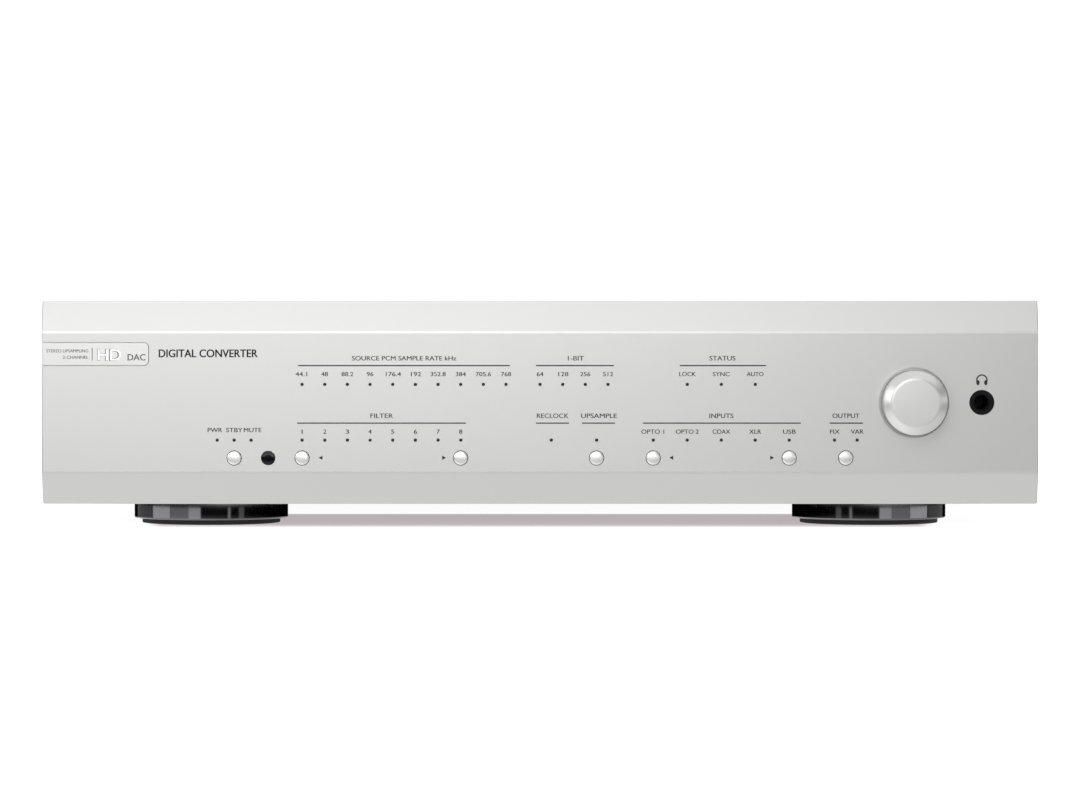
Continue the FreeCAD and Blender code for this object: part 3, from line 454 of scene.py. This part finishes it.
def dress_sockets():
    """Insulators, contacts and blades: the pieces of a socket that aren't its body's material."""
    for place, colour in ((phono_right, "red"), (phono_left, "white"), (phono_coax, "orange")):
        dress_faces("phono_sockets", colour, lambda x, y, z, place=place:
                    near(x, z, [(place, socket_z)], 1.7 * MM, 3.4 * MM) & (y > rear_y + 2.5 * MM))
    pins = [(x + dx, socket_z + dz) for x in (xlr_right, xlr_left, xlr_in)
            for dx, dz in ((-3.5 * MM, 0.0), (3.5 * MM, 0.0), (0.0, -3.5 * MM))]
    shells = [(x, socket_z) for x in (xlr_right, xlr_left)]
    dress_faces("headphone_jack", "jack_black", lambda x, y, z: y < fascia_back)
    dress_faces("xlr_outputs", "black_plastic", lambda x, y, z:
                near(x, z, shells, -1.0, 8.0 * MM) & (y > rear_y - 13.2 * MM) & (y < rear_y - 12.8 * MM))
    for node in ("xlr_outputs", "xlr_input"):
        dress_faces(node, "gold", lambda x, y, z:
                    near(x, z, pins, -1.0, 1.35 * MM) & (y > rear_y - 12.9 * MM))
    inlet_x, inlet_z = middle_of("mains_inlet")[0], socket_z + 6 * MM
    blades = ((-7.0, -1.0), (7.0, -1.0), (0.0, 3.0))
    dress_faces("mains_inlet", "nickel", lambda x, y, z: (y > rear_y - 13.9 * MM) & np.any(
        [(abs(x - inlet_x - bx * MM) < 1.1 * MM) & (abs(z - inlet_z - bz * MM) < 2.1 * MM)
         for bx, bz in blades], axis=0))
    usb = middle_of("usb_socket")
    dress_faces("usb_socket", "white", lambda x, y, z: (abs(x - usb[0]) < 2.9 * MM) & (
        abs(z - usb[2]) < 1.7 * MM) & (y > rear_y - 9.9 * MM))
    top = float(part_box("smoothing_capacitors")[1][2])
    dress_faces("smoothing_capacitors", "zinc", lambda x, y, z: z > top - 0.3 * MM)


# ------------------------------------------------------------------ meshes
def add_piece(name, points, faces, finish, smooth=35.0):
    """A mesh object from arrays. Edges sharper than smooth degrees stay sharp."""
    mesh = bpy.data.meshes.new(name)
    mesh.from_pydata(np.asarray(points, float).tolist(), [], [list(map(int, face)) for face in faces])
    mesh.materials.append(finishes[finish])
    mesh.polygons.foreach_set("use_smooth", np.ones(len(mesh.polygons), bool))
    mesh.set_sharp_from_angle(angle=math.radians(smooth))
    mesh.validate()
    piece = bpy.data.objects.new(name, mesh)
    collection.objects.link(piece)
    return piece


def join(parts):
    """Several (points, faces) as one."""
    points, faces, start = [], [], 0
    for part_points, part_faces in parts:
        points.append(np.asarray(part_points, float))
        faces += [[start + i for i in face] for face in part_faces]
        start += len(part_points)
    return np.concatenate(points), faces


def rounded(profile, radius, steps=4):
    """A polyline of (r, h) whose inner corners are cut by short arcs: each is a quadratic curve from
    radius before the corner to radius after it, or less where a neighbour is near."""
    profile = [np.array(point, float) for point in profile]
    out = [profile[0]]
    for before, corner, after in zip(profile, profile[1:], profile[2:]):
        reach = min(radius, 0.45 * np.linalg.norm(before - corner), 0.45 * np.linalg.norm(after - corner))
        start = corner + (before - corner) / np.linalg.norm(before - corner) * reach
        end = corner + (after - corner) / np.linalg.norm(after - corner) * reach
        for t in np.linspace(0.0, 1.0, steps + 1):
            out.append((1 - t) ** 2 * start + 2 * t * (1 - t) * corner + t ** 2 * end)
    return out + [profile[-1]]


def turned(profile, centre, axis, segments=96):
    """A closed turned solid. Profile is (r, h) from one pole, r = 0, to the other, or a ring that ends
    where it starts. Each point is h along the axis and r out from it at every angle."""
    profile = np.array(profile, float)
    ring = bool(np.allclose(profile[0], profile[-1]))
    rows = profile[:-1] if ring else profile[1:-1]
    angle = np.linspace(0.0, 2 * math.pi, segments, endpoint=False)
    u, v = [i for i in range(3) if i != axis]
    points = np.zeros((len(rows), segments, 3))
    points[..., u] = rows[:, :1] * np.cos(angle) + centre[u]
    points[..., v] = rows[:, :1] * np.sin(angle) + centre[v]
    points[..., axis] = rows[:, 1:]
    points = points.reshape(-1, 3)
    count = len(rows)
    i, j = np.meshgrid(np.arange(count if ring else count - 1), np.arange(segments), indexing="ij")
    k, m = (i + 1) % count, (j + 1) % segments
    faces = np.stack([i * segments + j, i * segments + m, k * segments + m, k * segments + j], -1)
    faces = faces.reshape(-1, 4).tolist()
    if not ring:
        for row, end, turn in ((0, profile[0], 1), (count - 1, profile[-1], -1)):
            pole = np.array(centre, float)
            pole[axis] = end[1]
            points = np.vstack([points, pole])
            for j in range(segments):
                pair = [row * segments + j, row * segments + (j + 1) % segments][::turn]
                faces.append(pair[::-1] + [len(points) - 1])
    return outward(points, faces)


def outward(points, faces):
    """Turns the faces round if the closed shape's signed volume is negative."""
    volume = 0.0
    for face in faces:
        a = points[face[0]]
        for i in range(1, len(face) - 1):
            volume += np.dot(a, np.cross(points[face[i]], points[face[i + 1]]))
    return points, faces if volume > 0 else [face[::-1] for face in faces]


def block(low, high):
    """A box from its two corners."""
    x, y, z = [(low[i], high[i]) for i in range(3)]
    points = np.array([(a, b, c) for a in x for b in y for c in z])
    faces = [(0, 1, 3, 2), (4, 6, 7, 5), (0, 4, 5, 1), (2, 3, 7, 6), (0, 2, 6, 4), (1, 5, 7, 3)]
    return points, faces


def slab(outline, y0, y1):
    """A flat outline of (x, z) points given thickness along Y."""
    count = len(outline)
    points = np.array([(x, y, z) for y in (y0, y1) for x, z in outline])
    faces = [list(range(count)), list(range(2 * count - 1, count - 1, -1))]
    faces += [[i, count + i, count + (i + 1) % count, (i + 1) % count] for i in range(count)]
    return outward(points, faces)


def stand_for(name, shape, finish, *nodes, smooth=35.0):
    """A finer mesh that stands for one or more CAD nodes of one body."""
    piece = add_piece(name, *shape, finish, smooth)
    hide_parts(*nodes)
    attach(piece, node_body[nodes[0]])
    return piece


def refine(node, width=0.15 * MM, angle=40.0, crease=30.0):
    """A copy of a CAD node with its points merged, its flat faces made whole and its edges bevelled."""
    source = frame["nodes"][node]
    mesh = source.data.copy()
    mesh.name = node + "_fine"
    shape = bmesh.new()
    shape.from_mesh(mesh)
    bmesh.ops.remove_doubles(shape, verts=shape.verts, dist=1e-7)
    bmesh.ops.dissolve_limit(shape, angle_limit=math.radians(0.3), verts=shape.verts, edges=shape.edges,
                             delimit={"MATERIAL"})
    shape.to_mesh(mesh)
    shape.free()
    mesh.polygons.foreach_set("use_smooth", np.ones(len(mesh.polygons), bool))
    mesh.set_sharp_from_angle(angle=math.radians(crease))
    piece = bpy.data.objects.new(node + "_fine", mesh)
    collection.objects.link(piece)
    bevel = piece.modifiers.new("edges", "BEVEL")
    bevel.width, bevel.segments, bevel.limit_method = width, 2, "ANGLE"
    bevel.angle_limit = math.radians(angle)
    bevel.harden_normals = True
    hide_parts(node)
    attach(piece, node_body[node])
    return piece


# ------------------------------------------------------------------ turned pieces
def make_knob():
    """The volume knob: a flat face, a wide chamfer and a plain side, with a bore for its shaft."""
    front, back = ends_of("volume_knob", 1)
    outer, face, chamfer, bore = 14.2 * MM, 10.9 * MM, 3.2 * MM, 3.1 * MM
    shoulder = rounded([(0, front), (face, front), (outer, front + chamfer)], 1.0 * MM, 8)
    profile = shoulder[:-1] + rounded([shoulder[-2], (outer, front + chamfer), (outer, back), (bore, back),
                                       (bore, front + 5 * MM), (0, front + 5 * MM)], 0.5 * MM, 6)[1:]
    centre = middle_of("volume_knob")
    piece = stand_for("volume_knob_turned", turned(profile, centre, 1, 192), "fascia",
                      "volume_knob", smooth=50.0)
    piece.data.materials[0] = turned_metal("knob_aluminium", (0.74, 0.74, 0.735), 0.36, centre, 1,
                                           0.22 * MM, 0.0000012)


def make_buttons():
    """Each button: a slightly domed cap with a softened rim, a flange and a stem."""
    for node in [name for name in node_slot if name.endswith("_button")]:
        front, back = ends_of(node, 1)
        centre = middle_of(node)
        r = 3.1 * MM
        dome = [(r * t, front + 0.25 * MM * t * t) for t in np.linspace(0.0, 0.86, 7)]
        rest = [(r, front + 0.55 * MM), (r, fascia_back - 2.2 * MM), (4.3 * MM, fascia_back - 2.2 * MM),
                (4.3 * MM, fascia_back - 1.0 * MM), (2.4 * MM, fascia_back - 1.0 * MM),
                (2.4 * MM, back - 1.7 * MM), (1.7 * MM, back - 1.7 * MM), (1.7 * MM, back), (0, back)]
        profile = dome[:-1] + rounded([dome[-1]] + rest, 0.3 * MM, 5)
        stand_for(node + "_turned", turned(profile, centre, 1, 72), "button", node, smooth=50.0)


def make_feet():
    """The feet: plain glossy drums with a soft edge, a recess for the pad and a seat for the screw."""
    pad_high, feet = ends_of("foot_pads", 2)[1], {}
    for corner in ("front_left", "front_right", "rear_left", "rear_right"):
        node = "foot_" + corner
        low, high = ends_of(node, 2)
        centre = middle_of(node)
        outer, pad, seat, bore = 34.5 * MM, 31.2 * MM, 5.5 * MM, 2.6 * MM
        seat_high, chamfer, shoulder = low + 4.8 * MM, 0.5 * MM, 0.4 * MM
        profile = [(bore, seat_high), (seat, seat_high), (seat, pad_high), (pad, pad_high), (pad, low),
                   (outer - chamfer, low), (outer, low + chamfer), (outer, high - shoulder),
                   (outer - shoulder, high), (bore, high), (bore, seat_high)]
        shape = turned(rounded(profile, 0.5 * MM), centre, 2, 192)
        feet[node] = stand_for(node + "_turned", shape, "foot", node)
    parts = []
    low, high = ends_of("foot_pads", 2)
    for corner in ("front_left", "front_right", "rear_left", "rear_right"):
        centre = middle_of("foot_" + corner)
        profile = [(5.5 * MM, low), (31 * MM, low), (31 * MM, high), (5.5 * MM, high), (5.5 * MM, low)]
        parts.append(turned(rounded(profile, 0.5 * MM), centre, 2, 144))
    stand_for("foot_pads_turned", join(parts), "rubber", "foot_pads")
    return feet


def screw(place, way, axis, head, high, shank, length):
    """A pan-head screw about an axis. Its head's top is a shallow dome, and a cross is pressed into it:
    the depth falls off smoothly with the distance from either bar."""
    top = [(head * t, high * (1.0 - 0.28 * t ** 2)) for t in np.linspace(0.0, 0.94, 13)]
    rest = [(head, high * 0.55), (head, 0.0), (shank, 0.0), (shank, -length), (0, -length)]
    points, faces = turned(top + rest, (0.0, 0.0, 0.0), 2, 48)
    bar = np.minimum(np.maximum(abs(points[:, 0]) / (0.16 * head), abs(points[:, 1]) / (0.62 * head)),
                     np.maximum(abs(points[:, 1]) / (0.16 * head), abs(points[:, 0]) / (0.62 * head)))
    inside = np.clip((1.35 - bar) / 0.5, 0.0, 1.0) * (points[:, 2] > high * 0.6)
    points[:, 2] -= 0.5 * high * inside
    turned_points = np.zeros_like(points)
    u, v = [i for i in range(3) if i != axis]
    turned_points[:, u], turned_points[:, v] = points[:, 0], points[:, 1]
    turned_points[:, axis] = points[:, 2] * way
    return outward(turned_points + np.array(place, float), faces)


def make_screws():
    """Every panel screw: six in the cover's sides, three under the sockets, two to each square flange."""
    _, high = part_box("panel_screws")
    base = ends_of("base_chassis", 2)[0]
    head, tall, shank, length = 2.75 * MM, 1.8 * MM, 1.4 * MM, 6.0 * MM
    wall = float(high[0]) - tall
    wall_half, frame_back = wall - 1.5 * MM, fascia_back + 2.0 * MM
    parts = []
    for y in (frame_back + 25 * MM, (frame_back + rear_y) / 2, rear_y - 25 * MM):
        for side in (-1, 1):
            parts.append(screw((side * wall, y, base + 10.5 * MM), side, 0, head, tall, shank, length))
    for x in (-wall_half + 30 * MM, 0.0, wall_half - 30 * MM):
        parts.append(screw((x, rear_y, base + 6.5 * MM), 1, 1, head, tall, shank, length))
    for x in (xlr_right, xlr_left, xlr_in):
        for side in (-1, 1):
            parts.append(screw((x + side * 9.8 * MM, rear_y + 2.5 * MM, socket_z - side * 12.2 * MM), 1, 1,
                               head, tall, shank, length))
    for side in (-1, 1):
        parts.append(screw((middle_of("mains_inlet")[0] + side * 20 * MM, rear_y + 3 * MM, socket_z), 1, 1,
                           head, tall, shank, length))
    stand_for("panel_screws_turned", join(parts), "screw", "panel_screws", smooth=40.0)


def make_window():
    front, back = ends_of("remote_window", 1)
    centre = middle_of("remote_window")
    r = 3.15 * MM
    profile = [(0, front - 0.08 * MM), (r * 0.5, front - 0.05 * MM), (r, front + 0.1 * MM),
               (r, back - 2.4 * MM), (r + 1.2 * MM, back - 2.4 * MM), (r + 1.2 * MM, back), (0, back)]
    stand_for("remote_window_turned", turned(rounded(profile, 0.2 * MM), centre, 1, 72), "window",
              "remote_window", smooth=50.0)


# ------------------------------------------------------------------ indicators and printed legends
led_rows = {53.0: [(-105.0, 10, 10.0), (0.0, 4, 10.0), (65.0, 3, 15.0)],
            28.4: [(-142.5, 3, 7.5), (-105.0, 8, 10.0), (5.0, 1, 10.0), (25.0, 1, 10.0), (50.0, 5, 15.0),
                   (130.0, 2, 10.0)]}


def make_light_pipes():
    """37 clear rods with domed tips that reach the fascia's face."""
    back = ends_of("light_pipes", 1)[1]
    r = 0.7 * MM
    tip = [(r * math.sin(a), front_y + 0.12 * MM - 0.2 * MM * math.cos(a))
           for a in np.linspace(0, math.pi / 2, 6)]
    rod = tip + [(r, back), (0, back)]
    parts = [turned(rod, ((x + pitch * i) * MM, 0.0, fascia_bottom + row * MM), 1, 24)
             for row, runs in led_rows.items() for x, count, pitch in runs for i in range(count)]
    stand_for("light_pipes_domed", join(parts), "led", "light_pipes", smooth=60.0)


# widths of plain sans letters, in thousandths of 1.4 cap heights
letter_width = dict.fromkeys("0123456789", 556) | dict.fromkeys("ABEKPSVXY", 667)
letter_width |= dict.fromkeys("CDHNRU", 722)
letter_width |= {" ": 278, ".": 278, "-": 333, "F": 611, "G": 778, "I": 278, "L": 556, "M": 833, "O": 778,
                 "T": 611, "Z": 611, "W": 944, "k": 500, "z": 500}


def glyphs(words, cap, align="CENTER", weight=0.0, wide=1.0, bold=0.022):
    """The points and faces of a line of lettering in its own XY plane, cap high and thin along Z. It is
    drawn out along X until it is as wide as its letters' widths added up, but no more than widest times.
    Bold lettering is drawn twice, that part of its height to either side."""
    cap_width, gap, widest = 716.0, 0.08, 1.4
    curve = bpy.data.curves.new("words", "FONT")
    curve.body, curve.align_x, curve.size = words, align, cap / 0.729
    curve.offset, curve.resolution_u = weight * cap, 4
    curve.extrude = 0.00002
    thing = bpy.data.objects.new("words", curve)
    collection.objects.link(thing)
    shape = bpy.data.meshes.new_from_object(thing.evaluated_get(bpy.context.evaluated_depsgraph_get()))
    points = np.zeros(len(shape.vertices) * 3)
    shape.vertices.foreach_get("co", points)
    points = points.reshape(-1, 3)
    full = sum(letter_width[letter] for letter in words) / cap_width * cap * wide
    points[:, 0] *= min((full - gap * cap) / np.ptp(points[:, 0]), widest)
    faces = [list(polygon.vertices) for polygon in shape.polygons]
    if bold:
        faces += [[corner + len(points) for corner in face] for face in faces]
        points = np.concatenate([points - (bold * cap, 0.0, 0.0), points + (bold * cap, 0.0, 0.0)])
    bpy.data.objects.remove(thing)
    bpy.data.curves.remove(curve)
    bpy.data.meshes.remove(shape)
    return points, faces


def on_front(shape, x, z, y=front_y):
    """Stands lettering on a surface that faces -Y, its baseline at z."""
    points, faces = shape
    return np.stack([points[:, 0] + x, -points[:, 2] + y, points[:, 1] + z], 1), faces


def on_rear(shape, x, z, y=rear_y):
    """The same on a surface that faces +Y."""
    points, faces = shape
    return np.stack([-points[:, 0] + x, points[:, 2] + y, points[:, 1] + z], 1), faces


front_words = [
    # words, x, height of the middle above the fascia's lower edge, cap height
    ("SOURCE PCM SAMPLE RATE kHz", -60.0, 64.6, 2.06), ("1-BIT", 15.5, 64.6, 2.1),
    ("STATUS", 80.5, 64.6, 2.1),
    ("FILTER", -70.0, 39.2, 2.1), ("RECLOCK", 5.5, 39.2, 2.1), ("UPSAMPLE", 26.0, 39.2, 2.1),
    ("INPUTS", 80.0, 39.2, 2.1), ("OUTPUT", 135.0, 39.2, 2.1),
]
front_words += [(words, -105.0 + 10.0 * i, 57.6, 1.95) for i, words in enumerate(
    ("44.1", "48", "88.2", "96", "176.4", "192", "352.8", "384", "705.6", "768"))]
front_words += [(words, 10.0 * i, 57.6, 1.95) for i, words in enumerate(("64", "128", "256", "512"))]
front_words += [(words, 65.0 + 15.0 * i, 57.6, 1.95) for i, words in enumerate(("LOCK", "SYNC", "AUTO"))]
front_words += [(str(i + 1), -105.0 + 10.0 * i, 32.2, 2.0) for i in range(8)]
front_words += [(words, 50.0 + 15.0 * i, 32.2, 2.0) for i, words in enumerate(
    ("OPTO 1", "OPTO 2", "COAX", "XLR", "USB"))]
front_words += [("FIX", 130.0, 32.2, 2.0), ("VAR", 140.0, 32.2, 2.0), ("PWR", -143.6, 32.9, 2.0),
                ("STBY", -135.0, 32.9, 2.0), ("MUTE", -126.9, 32.9, 2.0)]
front_rules = [(-106.8, -13.3, 61.3), (-1.8, 32.6, 61.3), (61.7, 99.7, 61.3), (-107.2, -32.7, 35.9),
               (-1.8, 12.8, 35.9), (18.5, 33.1, 35.9), (45.4, 115.1, 35.9), (127.9, 142.5, 35.9)]
front_arrows = [(-96.8, -1), (-42.4, 1), (58.0, -1), (102.4, 1)]
ink_thick = 0.02 * MM


def make_front_legends():
    parts = [on_front(glyphs(words, cap * MM), x * MM, fascia_bottom + (z - cap / 2) * MM)
             for words, x, z, cap in front_words]
    y0, y1 = front_y - ink_thick, front_y + ink_thick
    for x0, x1, z in front_rules:
        low, high = [fascia_bottom + (z + side * 0.27) * MM for side in (-1, 1)]
        parts.append(block((x0 * MM, y0, low), (x1 * MM, y1, high)))
    for x, way in front_arrows:
        z = fascia_bottom + 20.6 * MM
        outline = [(x * MM + way * 0.95 * MM, z), (x * MM - way * 0.8 * MM, z + 0.95 * MM),
                   (x * MM - way * 0.8 * MM, z - 0.95 * MM)]
        parts.append(slab(outline, y0, y1))
    parts += headphone_mark(y0, y1)
    parts.append(on_front(glyphs("DIGITAL CONVERTER", 3.6 * MM, "LEFT", 0.01, 0.835), -168.5 * MM,
                          fascia_bottom + 65.0 * MM))
    legends = add_piece("front_legends", *join(parts), "ink", 20.0)
    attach(legends, node_body["fascia"])


def headphone_mark(y0, y1):
    """A plain headphone sign: a band that is part of a ring, and two rounded pads."""
    x, z, outer, inner = jack_x, fascia_bottom + 54.9 * MM, 2.55 * MM, 1.95 * MM
    angle = np.linspace(math.radians(-20), math.radians(200), 28)
    band = [(x + outer * math.cos(a), z + outer * math.sin(a)) for a in angle]
    band += [(x + inner * math.cos(a), z + inner * math.sin(a)) for a in angle[::-1]]
    parts = [slab(band, y0, y1)]
    for side in (-1, 1):
        pad = [(x + side * 1.72 * MM + 0.72 * MM * math.cos(a), z - 1.15 * MM + 1.15 * MM * math.sin(a))
               for a in np.linspace(0, 2 * math.pi, 24, endpoint=False)]
        parts.append(slab(pad, y0, y1))
    return parts


def make_badge_marks():
    """The badge's print: two small lines, a divider, a large pale word and a small grey one."""
    face, low = ends_of("badge_plate", 1)[0], ends_of("badge_plate", 2)[0]
    y0, y1 = face - ink_thick, face + ink_thick
    small, small_x, word_x, word_low = 1.45 * MM, -199.2 * MM, -195.6 * MM, low + 2.2 * MM
    grey = [on_front(glyphs("STEREO UPSAMPLING", small, "RIGHT", 0.0, 0.84), small_x, low + 5.7 * MM, face),
            on_front(glyphs("2-CHANNEL", small, "RIGHT"), small_x, low + 2.9 * MM, face),
            block((-197.8 * MM, y0, low + 2.1 * MM), (-197.4 * MM, y1, low + 7.8 * MM)),
            on_front(glyphs("HD", 5.2 * MM, "LEFT", 0.045, 1.0, 0.0), word_x, word_low, face),
            on_front(glyphs("DAC", 2.9 * MM, "RIGHT", 0.0, 0.95), -173.9 * MM, word_low, face)]
    marks = add_piece("badge_marks", *join(grey), "badge_ink", 20.0)
    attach(marks, node_body["badge_plate"])
    pale = on_front(glyphs("HD", 5.2 * MM, "LEFT", 0.0, 1.0, 0.0), word_x, word_low, face - 0.03 * MM)
    word = add_piece("badge_word", *pale, "pale_ink", 20.0)
    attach(word, node_body["badge_plate"])


def make_rear_legends():
    """Plain labels beside the rear sockets, on the panel's outer face."""
    inlet, rocker, usb = middle_of("mains_inlet"), middle_of("rocker_frame"), middle_of("usb_socket")
    optical_low, optical_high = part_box("optical_sockets")
    right, left, coax = phono_right, phono_left, phono_coax
    above = socket_z + 21.0 * MM
    words = [("BALANCED OUT", (xlr_right + xlr_left) / 2, above + 4.0 * MM, 2.4),
             ("R", xlr_right, above - 2 * MM, 2.4), ("L", xlr_left, above - 2 * MM, 2.4),
             ("LINE OUT", (left + right) / 2, above + 4.0 * MM, 2.4),
             ("R", right, socket_z + 9.5 * MM, 2.4), ("L", left, socket_z + 9.5 * MM, 2.4),
             ("COAX", coax, socket_z + 9.5 * MM, 2.2), ("DIGITAL IN", optical_low[0], above + 4.0 * MM, 2.4),
             ("OPTO 1", optical_high[0] - 5 * MM, optical_high[2] + 3.2 * MM, 2.0),
             ("OPTO 2", optical_low[0] + 5 * MM, optical_high[2] + 3.2 * MM, 2.0),
             ("USB", usb[0], optical_high[2] + 3.2 * MM, 2.0), ("XLR IN", xlr_in, above - 2 * MM, 2.4),
             ("MAINS", rocker[0], above - 2 * MM, 2.4), ("AC IN", inlet[0], above + 1.0 * MM, 2.4),
             ("FUSE", inlet[0], inlet[2] - 24.5 * MM, 2.2)]
    parts = [on_rear(glyphs(text, cap * MM), float(x), float(z)) for text, x, z, cap in words]
    y0, y1 = rear_y - ink_thick, rear_y + ink_thick
    for x0, x1 in ((xlr_left, xlr_right), (left, right), (xlr_in, coax)):
        z = above + 2.4 * MM
        parts.append(block((float(x0) - 6 * MM, y0, z - 0.15 * MM), (float(x1) + 6 * MM, y1, z + 0.15 * MM)))
    legends = add_piece("rear_legends", *join(parts), "ink", 20.0)
    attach(legends, node_body["rear_panel"])


def make_floor():
    """A pale floor that sweeps up into a backdrop: a profile in Y and Z carried along X."""
    near_end, depth, radius, height, half = -7.0, 7.0, 1.5, 5.0, 8.0
    turn = np.linspace(0.0, math.pi / 2, 24)
    y = np.concatenate([[near_end], depth + radius * np.sin(turn), [depth + radius]])
    z = np.concatenate([[0.0], radius * (1.0 - np.cos(turn)), [height]])
    points = np.array([(x, yy, zz) for x in (-half, half) for yy, zz in zip(y, z)])
    n = len(y)
    faces = [(i, n + i, n + i + 1, i + 1) for i in range(n - 1)]
    mesh = bpy.data.meshes.new("floor")
    mesh.from_pydata(points.tolist(), [], faces)
    mesh.polygons.foreach_set("use_smooth", np.ones(len(faces), bool))
    floor = bpy.data.objects.new("floor", mesh)
    collection.objects.link(floor)
    paper = Finish("pale_floor", (0.62, 0.62, 0.62), roughness=1.0)
    paper.set("Specular IOR Level", 0.0)
    # painted shadow in the paper's glow: under the case, between the feet and not far back, the glow is
    # darker and a little purple; everywhere else it glows about twice as bright, which washes out the real
    # cast shadows there
    across, back, _ = paper.axes()
    inwards = ((0.176 - across.maths("ABSOLUTE", across)) / 0.008).held()
    behind = ((back - (front_y - 0.012)) / 0.01).held()
    before = ((front_y + 0.133 - back) / 0.004).held()
    # glow colours: the bright glow that hides cast shadows, and the darker purple glow of the painted shadow
    # band
    white, painted_shadow = (2.1, 2.1, 2.1, 1.0), (1.03, 0.93, 0.96, 1.0)
    paper.set("Emission Color", paper.mix(inwards * behind * before, white, painted_shadow))
    paper.set("Emission Strength", floor_glow)
    floor.visible_glossy = False
    mesh.materials.append(paper.material)


make_camera()
make_lights()
make_floor()
dress_nodes()
dress_sockets()
make_knob()
make_buttons()
make_foot_cards(make_feet())
make_window()
make_screws()
make_light_pipes()
make_front_legends()
make_badge_marks()
make_rear_legends()
refine("fascia", crease=12.0)
refine("xlr_outputs", crease=18.0)
for name in ("badge_plate", "top_cover", "rear_panel", "base_chassis", "headphone_jack", "xlr_input",
             "xlr_latch", "mains_inlet", "fuse_drawer", "rocker_frame", "mains_rocker", "phono_sockets",
             "usb_socket", "optical_sockets"):
    refine(name)
bpy.context.scene.view_settings.view_transform = "Standard"
